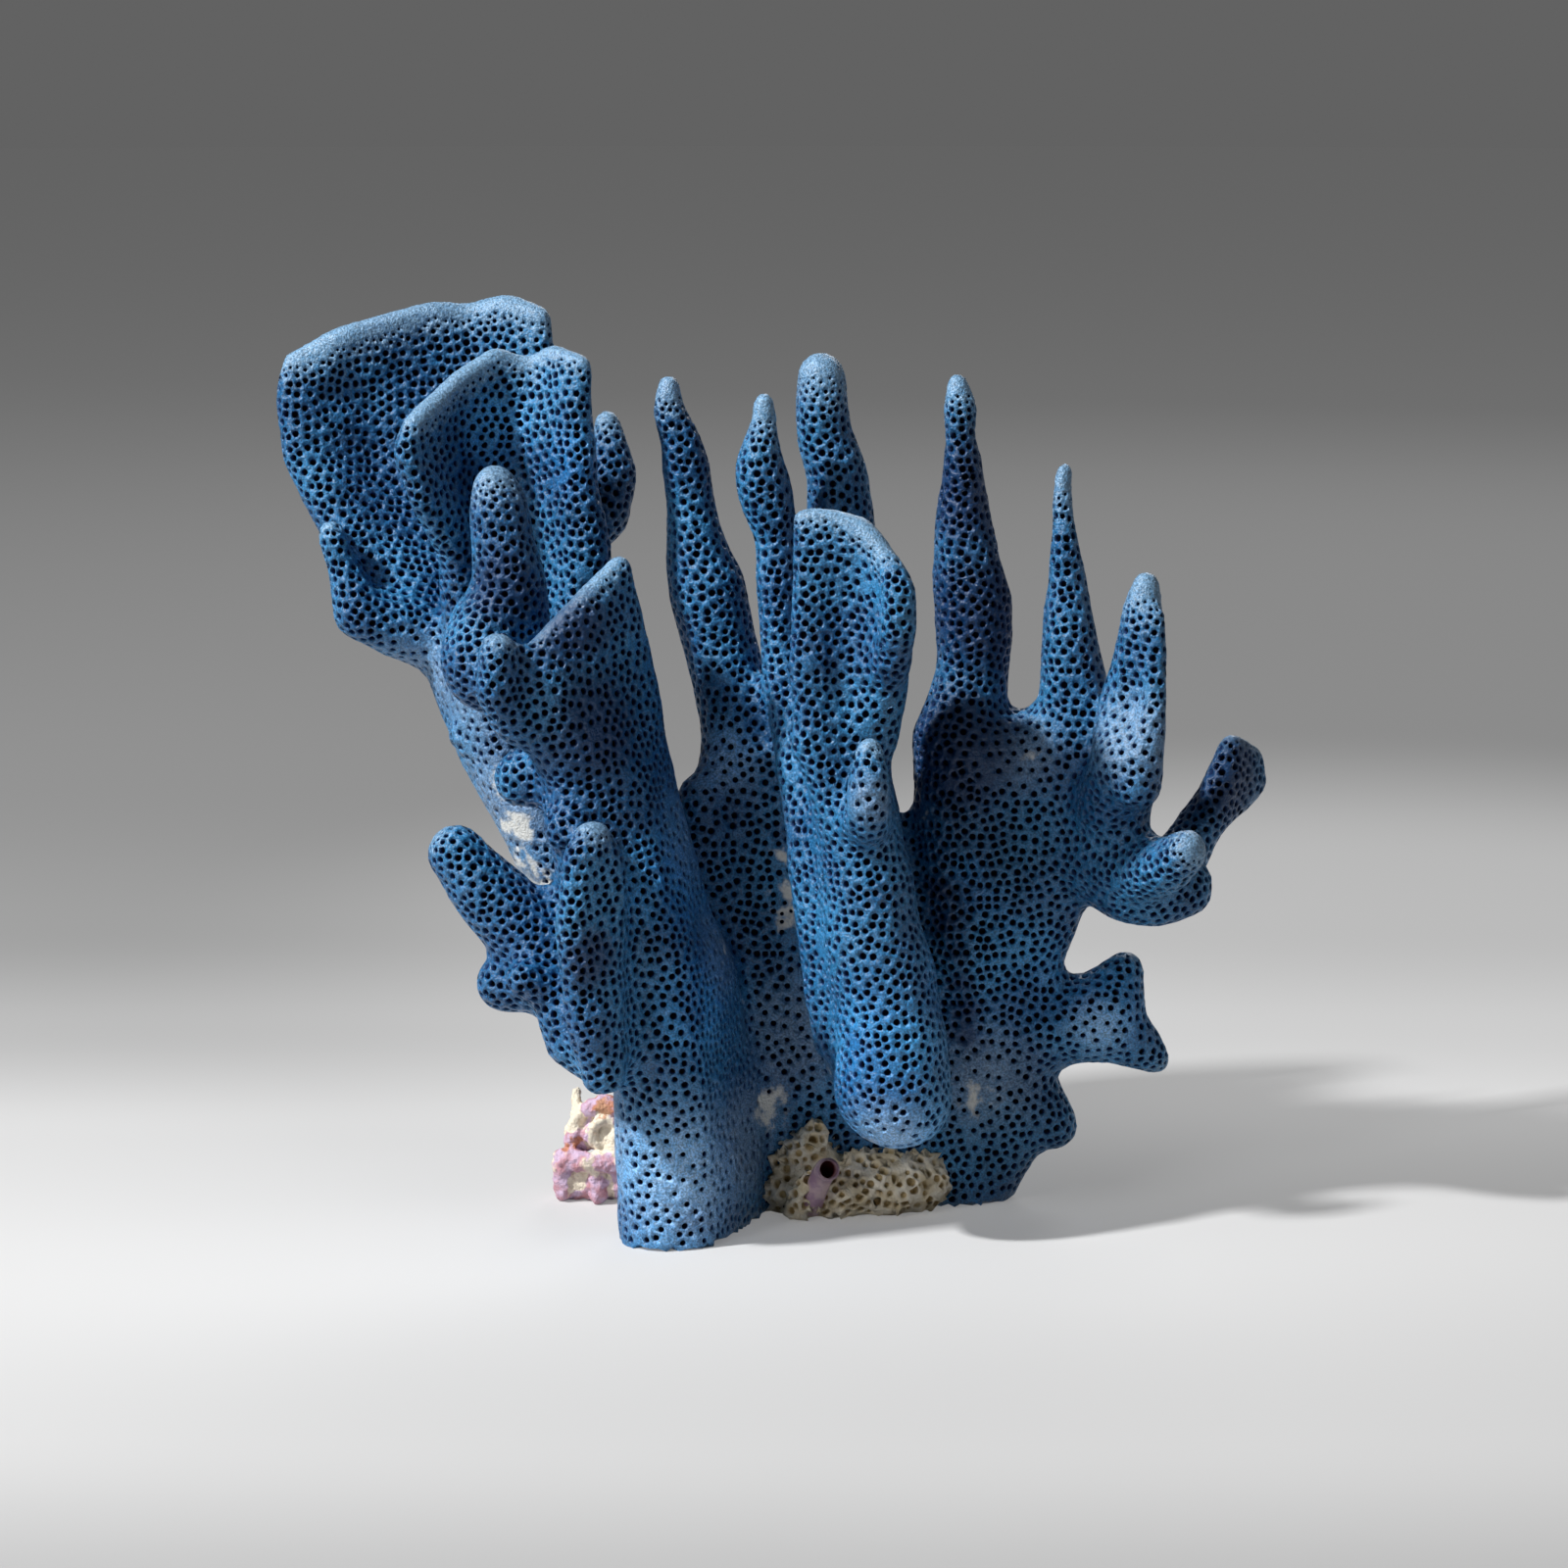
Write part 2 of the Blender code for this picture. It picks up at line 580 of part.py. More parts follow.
def main():
    clear_scene()
    floor = floor_block()
    cutters = [floor] + grow_colony(floor)
    tube, bed = worm_tube()
    for cutter in cutters:
        cut(tube, cutter)
    cutters.append(bed)
    texture = lumps("crust_lumps", CRUST_LUMP_SIZE)
    for node, groups in CRUSTS.items():
        obj = hulls(node, groups)
        grow(obj, texture, CRUST_LUMP_HEIGHT, CRUST_KEPT_FACES)
        for cutter in cutters:
            cut(obj, cutter)
        keep_largest_body(obj)
        paint(obj, material(node, *CRUST_LOOKS[node]))
    for cutter in cutters:
        bpy.data.objects.remove(cutter)
    for obj in bpy.data.objects:
        obj.data.transform(Matrix.Translation(-CENTRE))


main()
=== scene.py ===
"""The looks of a dried blue ridge coral: its pore-covered surface, its crusts and its worm tube.

The colony is the medial skeleton of the solids. A ball is (x, y, z, radius) in millimetres. The hulls of
its balls are fused to one smooth body. Cells under 2 mm wide are spread over it, and most hold a pore with
a rim, a wall and a bottom. The cells are then shared out to one piece for each node. The front is -Y.
"""

import itertools
import math
import random

import bmesh
import bpy
import numpy as np
from mathutils import Matrix, Vector
from mathutils.kdtree import KDTree


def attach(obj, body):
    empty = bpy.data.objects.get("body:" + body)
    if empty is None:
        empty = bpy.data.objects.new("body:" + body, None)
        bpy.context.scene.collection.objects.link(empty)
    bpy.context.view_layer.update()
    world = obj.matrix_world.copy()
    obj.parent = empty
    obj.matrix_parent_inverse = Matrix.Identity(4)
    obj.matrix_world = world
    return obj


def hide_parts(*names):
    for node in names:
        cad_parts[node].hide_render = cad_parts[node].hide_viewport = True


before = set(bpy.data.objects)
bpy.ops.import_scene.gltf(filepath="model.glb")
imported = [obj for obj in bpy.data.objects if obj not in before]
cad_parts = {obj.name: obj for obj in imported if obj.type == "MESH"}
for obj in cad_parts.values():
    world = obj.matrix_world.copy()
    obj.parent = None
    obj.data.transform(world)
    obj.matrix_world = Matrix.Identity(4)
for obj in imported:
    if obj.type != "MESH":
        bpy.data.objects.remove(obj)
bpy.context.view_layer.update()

MM = 0.001  # metres in a millimetre
CENTRE = Vector((-0.9, -2.8, 0)) * MM  # middle of the colony's box on the floor, which is the origin
SEED = 7
TINY = 1e-12  # keeps a divisor from being 0

# The smooth body.
BALL_DETAIL = 3  # subdivisions of the icosphere that a ball is
VOXEL = 0.9 * MM  # size at which the hulls are fused
FILLET = 0.7 * MM  # how far a crease between two limbs is filled
ROUNDING = 4  # smoothing passes
SMOOTHING = 0.5  # share of the way to its neighbours' middle that a pass moves a point
LUMP_SIZE = 11 * MM
LUMP_HEIGHT = 1.3 * MM
DRAWN_IN = 0.3  # how far what lies below the floor is drawn in, as a share of its depth

# The pores' places. An edge is where something starts and is full. A tip's is a share of its reach.
PORE_GAP = 1.33 * MM  # least distance between two pores
TIP_GAP = 1 * MM  # on the growing tips and rims
TIP_GAP_EDGE = (0.4, 0.9)
PALE_GAP = 0.3 * MM  # more where the skin is worn pale
UNDER_GAP = 3 * MM  # on the cut face, which has no pores
HOLLOW_REACH = 4.5 * MM  # how far round a cell the creases are looked for
CREASE_EDGE = (0.1, 0.3)
SPOT_EDGE = (0.2, 1.2)  # a share of a spot's radius
SAMPLES = 7  # balls along each edge of a hull when cells are shared out to nodes
CHUNK = 2000  # points that are compared at a time

# The pores' shapes.
PORE_RADIUS = 0.6 * MM
GRAINY_EDGE = (0.3, 0.85)  # where pores get smaller near a tip
NARROWED = (0.62, 0.3, 0.2, 0.4)  # by what share on a tip, in a crease, on a pale and on a bare spot
RADIUS_RANGE = (0.88, 1.1)
WIDEST = 0.94  # of what a cell has room for
TIP_CLOSED = 0.95  # how near a tip or deep in a crease a cell is when it has no pore
CREASE_CLOSED = 0.9
GONE = 0.012  # share of the other cells that have no pore
GONE_IF_PALE = 0.15
GONE_IF_WHITE = 0.9
PORE_DEPTH = 1.25 * MM
DEEPEST = 2.6  # the most that a pore is deep, in radii
UNEVENNESS = 0.03 * MM  # of the skin between the pores
PALE_TIP = 1.1  # how far a tip is pale, as a share of its reach
SIDES = 10  # of a pore's rim
BOTTOM_SIDES = SIDES // 2
RIM_DROP = 0.05 * MM  # how far the rim lies under the skin
RIM_TILT = 0.95  # how far the rim's shading leans into the pore
FOOT_LIFT = 0.5  # how far the shading of the wall's foot leans out of the pore
PIT_TAPER = 0.72  # width of the bottom as a share of the rim
DIMPLE = -0.04 * MM  # height of the middle of a closed cell
UPRIGHT = 0.9  # a normal that rises more than this is nearly upright

# A point's place in its pit, for the painted shade, colour and roughness in the pits: 2 shares of the pit's
# radius, and 1 in a cell with a pit.
CLOSED_CELL = (0.0, 0.0, 0.0)
PIT_MIDDLE = (0.0, 0.0, 1.0)
WALL_SHADE = 0.45  # where the foot of a pit's wall counts: 0 is its middle and 1 its rim
SKIN_ROUGHNESS = 0.36
PIT_ROUGHNESS = 0.95

# The crusts. The honeycomb crust is the cream one.
CRUST_ROUNDING = 3  # smoothing passes
SUNK = 0.8 * MM  # how deep inside the colony a crust still goes on
COMB_GAP = 1.35 * MM
COMB_RADIUS = (0.6, 0.9)  # in shares of what a cell has room for
COMB_DEPTH = (0.6, 1.6)  # in radii
COMB_GONE = 0.08
COMB_FOOT = 0.8 * MM  # height below which its cells are closed
SPIKE = 0.42  # mean height of the spikes on its walls, in millimetres
LONGEST_SPIKE = 1.5
SPIKE_FOOT = 0.5 * MM  # height below which it has none

GROWING = []  # the rims and tips where the colony still grew: how far each is pale, and its line of points
BEYOND = 0.8  # how far past its last ball's middle a tip lies, in that ball's radius


def limb(*balls):
    """Pairs of neighbouring balls: a finger, a stem or a knob."""
    return list(zip(balls, balls[1:]))


def sheet(*rows):
    """Fours of neighbouring balls: a fan, a blade or a broad column."""
    return [
        (low[i], low[i + 1], high[i], high[i + 1])
        for low, high in zip(rows, rows[1:])
        for i in range(len(low) - 1)
    ]


def column(*rows):
    """Whole rows of balls, each hulled with the next: a stem that isn't round."""
    return [(*low, *high) for low, high in zip(rows, rows[1:])]


def beyond(ball, before):
    """The ball's middle, moved on by most of its radius in the direction of growth."""
    ahead = Vector(ball[:3]) - Vector(before[:3])
    return Vector(ball[:3]) + ahead.normalized() * ball[3] * BEYOND


def finger(*balls, reach):
    """A limb whose first ball is a growing tip, pale as far as the reach."""
    GROWING.append((reach, [beyond(balls[0], balls[1])]))
    return limb(*balls)


def fan(*rows, reach):
    """A sheet whose last row is a growing rim, pale as far as the reach."""
    GROWING.append((reach, [beyond(high, low) for high, low in zip(rows[-1], rows[-2])]))
    return sheet(*rows)


COLONY = {
    "root_trunk": sheet(
        [(-6, 6, -4, 9), (7, 8, -4, 10), (19, 9, -4, 10), (27, 9, -4, 8)],
        [(-7, 5, 12, 8.5), (6, 7, 12, 9.5), (20, 9, 12, 9.5), (30, 9, 12, 8)],
        [(-8, 5, 30, 8), (5, 6, 30, 8.5), (18, 8, 30, 8.5), (29, 8, 30, 7)],
        [(-9, 5, 52, 7.5), (2, 5, 52, 7.5), (12, 6, 52, 7), (24, 7, 46, 6)],
        [(-7, 5, 74, 6.5), (1, 5, 74, 6.5), (7, 7, 74, 6.5), (12, 7, 66, 5)],
    )
    + limb((-12.5, 1, 69, 4.5), (-12, 2, 62, 6), (-9, 4, 54, 7))
    + limb((-6, 8, 74, 6.5), (-4, 11, 44, 8), (-1, 13, 10, 9), (0, 13, -4, 9))
    + limb((8, 11, 74, 6.5), (10, 14, 46, 7.5), (13, 16, 14, 9), (14, 16, -4, 9)),
    "front_left_column": column(
        [(-19.2, -19, -4, 6.8), (-14.2, -20.6, -4, 4.6), (-8, -3, -4, 5.5)],
        [(-20.3, -18.6, 14, 6.6), (-14.4, -20.8, 14, 4.6), (-8, -3, 14, 5.5)],
        [(-20.5, -17.5, 29, 6), (-15.8, -21.6, 29, 4.8), (-10, -4, 29, 5.5)],
        [(-23, -17.5, 42, 7), (-17.5, -20.5, 42, 5.5), (-12.5, -7, 42, 5.8)],
        [(-26, -18, 50, 7.5), (-20, -20, 50, 6), (-16.5, -9.5, 50, 6)],
        [(-29, -19, 64, 7.5), (-24, -18, 64, 6.5), (-20, -11, 64, 6)],
        [(-30, -19.5, 76, 6.8), (-26, -17.5, 76, 6.5), (-22.5, -12.5, 76, 5.6)],
    )
    + limb((-34, -15, 76, 5.5), (-41, -16, 75.5, 4.6))
    + limb((-31, -19, 73, 6), (-33.3, -25, 68.8, 4)),
    "front_left_crest": fan(
        [(-32, -21, 76, 5.5), (-28, -19, 76, 6.5), (-22.6, -12.5, 76, 5.6)],
        [(-36, -23.5, 86, 5), (-30, -19.5, 86, 5.8), (-24, -13.5, 86, 5.4)],
        [(-37, -25, 92, 4), (-31, -20.5, 95, 4.5), (-24.6, -14.5, 95, 4.5)],
        [(-36.9, -25.5, 97.5, 2.6), (-31, -22, 103.5, 2.4), (-25.2, -17, 109.3, 2.4)],
        reach=3.6,
    )
    + finger(
        (-43.7, -29, 97.5, 3.4), (-44, -28, 91.5, 4), (-41.5, -25.5, 86.5, 4.3), (-35, -22, 84, 5.5),
        reach=5.5,
    ),
    "front_lobe": fan(
        [(-28.6, -31, 30, 2.8), (-26.4, -31, 30, 2.8)],
        [(-29.6, -32.2, 36, 3.2), (-27.2, -30.4, 36, 3.2)],
        [(-31.7, -33.4, 46, 3), (-27.7, -30.2, 46, 3)],
        [(-32.3, -33.9, 56, 3), (-26.6, -29.9, 56, 3)],
        [(-31.2, -33.8, 65.5, 2.8), (-27, -30.6, 65, 3)],
        [(-29.6, -33, 69.2, 2.4), (-28.2, -32.5, 69.2, 2.4)],
        reach=6,
    )
    + sheet(
        [(-28, -31, 34, 2.4), (-25, -23, 34, 5)],
        [(-29, -31, 46, 2.4), (-26, -22.5, 46, 5)],
        [(-29.5, -32, 56, 2.4), (-26.5, -23, 56, 5)],
    ),
    "left_side_branch": finger(
        (-51.6, -18, 63.4, 4.8), (-48.4, -18, 59.6, 5.5), (-43.4, -18, 54.5, 6.2), (-38, -18, 48.5, 7),
        (-30, -17, 44, 8), reach=5,
    )
    + limb((-44.2, -18, 42.2, 4.5), (-38, -18, 44.5, 6.5), (-31, -18, 40, 7.5))
    + limb((-40.3, -26.5, 44.8, 3.2), (-37, -24, 43.5, 4), (-33, -21, 41, 6))
    + limb((-34.8, -24, 40, 4.5), (-32.8, -24.5, 34.5, 5), (-28.8, -24, 32, 5.3), (-23, -19, 32, 6)),
    "rear_left_stem": sheet(
        [(-21, -6, 40, 7.5), (-20, 0, 40, 7.5)],
        [(-29, -2, 51, 7), (-29, 4, 51, 7)],
        [(-37, -1, 62, 7), (-37, 6, 62, 7.5)],
        [(-43.3, 1, 74, 6.5), (-43.5, 8, 73, 7.5)],
        [(-46, 2, 84, 6.5), (-49, 11, 83, 7.5)],
        [(-46, 1, 91, 6.5), (-52, 13, 90, 7)],
    )
    + limb((-51.8, 2, 79.3, 2.6), (-46, 3, 76, 5)),
    "rear_left_fan": sheet(
        [(-55, 15, 94, 6), (-50, 17, 95, 6), (-45, 18, 96, 6), (-41, 18, 97, 5), (-38, 17, 98, 4.5)],
        [(-69.5, 17, 108, 4.8), (-60, 21, 108, 4.6), (-51, 23, 108, 4.8), (-45, 23, 108, 4.6),
         (-40, 21, 109, 4.3)],
        [(-78.8, 18, 123, 3.2), (-68, 24, 122, 3.5), (-57, 25, 121, 3.8), (-47, 26, 121, 3.7),
         (-40, 23, 122, 3.6)],
        [(-80.3, 19, 131.5, 2.6), (-69, 24, 134, 3), (-58, 26, 136, 3.2), (-48, 26, 136, 3.1),
         (-39.9, 23, 135, 3.2)],
    )
    + fan(
        [(-80.3, 19, 131.5, 2.6), (-72.5, 22.5, 133, 2.8), (-65, 25, 134.5, 3), (-58, 26, 136, 3.2),
         (-51.5, 26, 136, 3.1), (-45.5, 25, 135.5, 3.1), (-39.9, 23, 135, 3.2)],
        [(-80.2, 19, 138.8, 2), (-71.8, 20.5, 142.7, 2), (-64, 22.5, 145.3, 2), (-57.5, 24.5, 146.7, 2),
         (-51.3, 26, 146.3, 2), (-45, 25, 147.3, 2.2), (-39.3, 22.5, 145.8, 2)],
        reach=8,
    ),
    "rear_left_spur": finger(
        (-73.2, 8, 111.6, 2.2), (-71.2, 8, 105, 3), (-68.8, 8, 98.5, 4.6), (-62, 11, 96, 6),
        (-56, 14, 94, 6.5), reach=4,
    ),
    "mid_left_fan": sheet(
        [(-44, 2, 82, 6), (-40, 5, 82, 6), (-36, 4, 82, 6), (-32, 1, 82, 5.2)],
        [(-50.5, 4, 98, 4.5), (-45, 8, 98, 4.6), (-38, 7, 98, 4.8), (-31.5, 1, 98, 4.7)],
        [(-52.6, 0, 110, 3.1), (-46.5, 9, 110, 4.2), (-39, 7.5, 110, 4.2), (-31.5, 1, 110, 4.2)],
        [(-57, -6, 119, 2.3), (-50.5, 6.5, 122, 3.1), (-41, 9, 122, 3.3), (-32.6, 1, 121, 3.3)],
        [(-59.6, -7, 126.2, 2), (-52.5, 3, 130, 2.5), (-42, 8.5, 131, 2.8), (-32.4, 1, 132, 2.7)],
    )
    + fan(
        [(-59.6, -7, 126.2, 2), (-52.5, 3, 130, 2.5), (-46.5, 7, 131, 2.6), (-41, 8.5, 131, 2.7),
         (-37, 5.5, 131.5, 2.7), (-32.4, 1, 132, 2.7)],
        [(-58.5, -6, 130.6, 1.7), (-51.4, 1.5, 137, 1.8), (-45.7, 5, 140.9, 1.8),
         (-40.3, 6.5, 138.7, 1.8), (-36.3, 4.5, 141, 1.9), (-31.6, 1, 139.8, 1.9)],
        reach=5.5,
    ),
    "fan_back_finger": finger(
        (-28.6, 22, 128.4, 2.6), (-27.6, 21, 120, 4.2), (-29.5, 20, 113.5, 4.7), (-38, 18, 106, 5),
        reach=8,
    ),
    "left_thumb": finger(
        (-44.9, -14, 121.8, 3.8), (-44.3, -14, 118, 4.9), (-43.8, -14, 113, 5.3), (-43.2, -14, 107.5, 5.7),
        (-43, -13, 102.5, 6.7), (-43, -12, 96, 7.2), (-40, -12, 90, 7), (-37, -14, 86, 6), reach=10,
    )
    + limb((-46.2, -15, 99.4, 6.6), (-47.8, -17, 94.6, 6.4), (-47.4, -17, 92.2, 6), (-40, -12, 90, 7)),
    "centre_spire": finger(
        (-17.9, 7, 136, 2.1), (-17.9, 7, 131.5, 2.6), (-16.1, 7, 126.5, 3.5), (-15.1, 8, 122, 4.2),
        (-14.7, 9, 116.5, 4.2), (-14, 9, 110, 4.8), (-11.8, 9, 102, 6.3), (-10.4, 9, 96, 6.4),
        (-8.8, 8, 89.5, 6), (-7, 6, 82, 6), (-6.5, 5, 74, 6.3), reach=11,
    ),
    "centre_small_spire": finger(
        (-2.4, -1, 134, 1.7), (-2.4, -1, 131, 2), (-3.1, -1, 127.5, 3.1), (-3.2, -1, 124, 4),
        (-2.5, -1, 120.5, 4.4), (-1.3, -1, 116, 4.3), (-0.6, -1, 111.5, 3.6), (-0.1, -2, 103.5, 3.7),
        (0.5, -2, 94, 3.9), (1.8, -3, 85, 3.9), (3.2, -6, 77, 3.9), reach=12,
    )
    + limb((1, 0, 88, 3.9), (3, 4, 82, 5), (4, 5, 74, 6)),
    "centre_blunt_finger": finger(
        (6.9, 10, 137, 4), (6.8, 10, 133.5, 4.2), (7.5, 10, 126.5, 4.8), (9.2, 10, 121.5, 5.3),
        (10, 10, 115, 5.8), (10, 10, 104, 6.2), (9, 9.5, 90, 6.4), (8, 9, 74, 6.8), reach=13,
    ),
    "front_column": limb(
        (12, -18, 82, 5.5), (12.6, -19, 70, 6.4), (13.7, -19, 60, 7.4), (15, -19, 50, 8.2),
        (16.7, -19, 42, 9), (18, -20, 34, 8.8),
    )
    + column([(18, -20, 34, 8.8)], [(17.6, -20, 25, 8.7), (19.6, -20, 24.3, 8.8)])
    + limb(
        (3.2, -8, 76, 3.9), (5, -11, 65, 4.1), (6.4, -12.5, 53, 4.2), (7.6, -13.5, 41, 4),
        (9, -14, 32, 3.5),
    )
    + limb((5.5, -21, 83, 3.6), (7.8, -21, 76, 3.8), (10.8, -20.5, 69, 4.7))
    + sheet(
        [(14, -2, 26, 6.5), (17, -14, 28, 8)],
        [(11, -3, 42, 6.5), (15, -14, 42, 8.5)],
        [(9.5, -3, 60, 6.3), (13, -14, 60, 7.8)],
        [(8.5, -4, 74, 6), (11.5, -14, 74, 6.8)],
        [(7.5, -8, 84, 5), (10, -14, 84, 5.5)],
    )
    + finger(
        (14.2, -30.5, 82.3, 2.2), (14.2, -31, 78, 3.4), (14.2, -30.6, 73.2, 3.9), (14.2, -29, 70.4, 3.8),
        (14, -23, 70, 4.8), reach=6,
    ),
    "front_ear": fan(
        [(5.5, -21, 82, 4), (9, -18.5, 82, 5), (12.5, -18.5, 82, 5), (15, -19, 82, 4.3)],
        [(4.8, -21.5, 90, 3), (9, -18.2, 90, 4), (13, -18.2, 90, 4.2), (16.5, -20.5, 90, 3.8)],
        [(4, -21.5, 102, 2.4), (9, -18.6, 102, 3.2), (13.5, -19.3, 102, 3.3), (18, -23.5, 102, 3.4)],
        [(3.9, -21.5, 112, 2.1), (8.5, -20.8, 112, 2.6), (13, -21.3, 111.5, 2.8), (16.8, -24, 109.5, 2.8)],
        [(3.5, -22, 117.6, 1.8), (8, -22.3, 117.2, 1.9), (12.5, -23.2, 115.8, 2.1),
         (15.6, -25, 113.2, 2.2)],
        reach=5,
    )
    + finger(
        (17.2, -27, 111, 2.2), (18.7, -28.6, 106.5, 2.9), (18.6, -28, 101, 3.1), (17.6, -24.5, 95, 3.2),
        reach=5,
    )
    + limb((10.5, -11.5, 82, 6.5), (10.5, -11.5, 96, 6), (11, -13.5, 106, 4.2)),
    "right_blade": sheet(
        [(25, 8, -4, 8), (28, 8, -4, 7.5), (30.5, 8, -4, 6)],
        [(29, 8, 10, 8), (35, 8, 12, 7), (39.5, 7, 13, 6)],
        [(31, 8, 32, 8), (37, 7, 34, 7.5), (40.5, 6, 34, 6.3)],
        [(30.5, 6, 43, 7.8), (37, 6, 43, 7.5), (41.2, 5, 43, 6)],
        [(30, 6, 50, 7.5), (38, 6, 51, 7.5), (45, 4, 52.5, 6)],
        [(29, 5, 63, 7), (39, 5, 64, 7.5), (52, 1, 64, 7)],
        [(29, 5, 78, 7.5), (39, 5, 76, 6.5), (49, 4, 78, 7.5)],
    )
    + limb((45.9, 6, 12.8, 4.4), (40.5, 7, 17, 6.5), (37, 8, 26, 7.5))
    + limb((31, 8, 76, 7), (33, 11, 46, 7.5), (31, 12, 10, 8), (27, 12, -4, 8)),
    "right_tall_spire": finger(
        (28.9, 6, 136.6, 1.7), (29.2, 6, 132.5, 2.7), (29.6, 6, 127, 2.3), (30, 6, 122, 3.4),
        (30.3, 7, 117, 4.4), (30.4, 7, 111.5, 5.2), (30.8, 7, 106, 5.7), (32, 7, 100, 6.3),
        (32, 7, 94.5, 6.2), (31.6, 7, 89.5, 6), (30.6, 6, 83, 7), (30.2, 5, 77, 8), reach=10,
    ),
    "right_short_spire": finger(
        (46.3, 4, 122.4, 1.6), (46, 4, 119, 1.8), (46.1, 4, 114.5, 2.1), (46.5, 4, 109.5, 2.8),
        (47, 4, 104, 3.5), (47.2, 3, 98, 4.4), (47.8, 3, 92.5, 5.2), (48.3, 3, 87, 5.7), (48.3, 3, 78, 6.7),
        reach=13,
    ),
    "right_ridge": finger(
        (58.7, -10, 105.6, 2.7), (58, -10, 101.5, 3.4), (57.5, -10, 97, 3.6), (57, -9, 92.5, 4),
        (56.8, -8, 88.5, 4.5), (56, -8, 83, 5.2), (55.5, -12, 76.5, 5.6), (54, -5, 69, 6.5), reach=13,
    )
    + limb((60, -13, 101, 1.8), (60, -14, 88, 2.2), (58.5, -15.5, 79, 3), (57, -14, 74, 4.5)),
    "right_arm": finger(
        (65, -18, 63.8, 3.6), (62.5, -14, 60.8, 4.7), (59.5, -9, 59, 5.7), (53, -2, 60, 6.5), reach=7,
    )
    + limb((66, -2, 54.8, 5.2), (61.5, -3, 54.2, 6), (57.5, -3, 55, 6), (51, 0, 59, 6.8)),
    "right_paddle": fan(
        [(71, 6, 65, 3.2), (76.5, 12, 67.3, 2.6)],
        [(73, 6.5, 71.5, 2.9), (79.2, 14, 69.2, 2.3)],
        [(74.4, 7.5, 77, 1.9), (78.5, 13.5, 73.5, 2.2)],
        reach=4,
    )
    + limb((73, 9.5, 67.5, 3.6), (69.5, 8, 63.5, 3.8), (66.5, 5, 58.5, 4.6), (62, 1, 54.5, 5.5)),
    "lower_right_branch": finger(
        (57.2, 4, 39.8, 3.4), (55, 4, 34, 6.2), (50, 5, 31.3, 7), (43, 6, 29, 7.6),
        reach=3.5,
    )
    + finger((62.4, 4, 24.4, 2.8), (59.2, 4, 27.3, 4.4), (55.5, 4, 29.8, 5.8), (49, 5, 30.5, 7), reach=5),
}


# ---- the smooth body


def placed(name, data):
    """A new object in the scene."""
    obj = bpy.data.objects.new(name, data)
    bpy.context.scene.collection.objects.link(obj)
    return obj


def placed_mesh(name, bm):
    mesh = bpy.data.meshes.new(name)
    bm.to_mesh(mesh)
    bm.free()
    return placed(name, mesh)


def ball_directions():
    """Evenly spread directions, from the corners of an icosphere."""
    bm = bmesh.new()
    bmesh.ops.create_icosphere(bm, subdivisions=BALL_DETAIL, radius=1)
    directions = [v.co.copy() for v in bm.verts]
    bm.free()
    return directions


def hulls(name, groups):
    """One object with the convex hull of each group of balls, still overlapping."""
    directions = ball_directions()
    bm = bmesh.new()
    for group in groups:
        corners = []
        for x, y, z, radius in group:
            centre = Vector((x, y, z)) * MM
            corners += [bm.verts.new(centre + d * radius * MM) for d in directions]
        made = bmesh.ops.convex_hull(bm, input=corners)
        hidden = made["geom_interior"] + made["geom_unused"]
        inner = {v for v in hidden if isinstance(v, bmesh.types.BMVert)}
        bmesh.ops.delete(bm, geom=list(inner), context="VERTS")
    return placed_mesh(name, bm)


def fuse(obj, voxel):
    modifier = obj.modifiers.new("fuse", "REMESH")
    modifier.mode = "VOXEL"
    modifier.voxel_size = voxel


def displace(obj, strength, texture=None):
    modifier = obj.modifiers.new("displace", "DISPLACE")
    modifier.strength = strength
    modifier.mid_level = 0.5 if texture else 0
    if texture:
        modifier.texture = texture
        modifier.texture_coords = "GLOBAL"


def smooth(obj, passes):
    modifier = obj.modifiers.new("smooth", "SMOOTH")
    modifier.factor = SMOOTHING
    modifier.iterations = passes


def clouds(name, size):
    texture = bpy.data.textures.new(name, "CLOUDS")
    texture.noise_scale = size
    texture.noise_depth = 1
    return texture


def read(items, key, kind):
    """The three numbers of each item, as an array."""
    values = np.empty(len(items) * 3, kind)
    items.foreach_get(key, values)
    return values.reshape(-1, 3)


def taken(obj):
    """The object's points, normals and triangles as its modifiers make them. The object is removed."""
    graph = bpy.context.evaluated_depsgraph_get()
    mesh = bpy.data.meshes.new_from_object(obj.evaluated_get(graph))
    bpy.data.objects.remove(obj)
    mesh.calc_loop_triangles()
    points = read(mesh.vertices, "co", np.float32).astype(float)
    normals = read(mesh.vertices, "normal", np.float32).astype(float)
    triangles = read(mesh.loop_triangles, "vertices", np.int32)
    bpy.data.meshes.remove(mesh)
    return points, normals, triangles


def seated(points, normals, triangles):
    """Presses what is below the floor flat onto it, drawn in so that it doesn't stick out at the edge."""
    depth = np.maximum(-points[:, 2], 0)
    points[:, :2] -= normals[:, :2] * (depth * DRAWN_IN)[:, None]
    points[:, 2] += depth
    normals[depth > 0] = (0, 0, -1)
    return points, normals, triangles


def colony_body():
    obj = hulls("colony", [group for groups in COLONY.values() for group in groups])
    fuse(obj, VOXEL)
    displace(obj, FILLET)
    fuse(obj, VOXEL)
    displace(obj, -FILLET)
    smooth(obj, ROUNDING)
    displace(obj, LUMP_HEIGHT, clouds("colony_lumps", LUMP_SIZE))
    refine = obj.modifiers.new("refine", "SUBSURF")
    refine.levels = refine.render_levels = 1
    return seated(*taken(obj))


# ---- cells


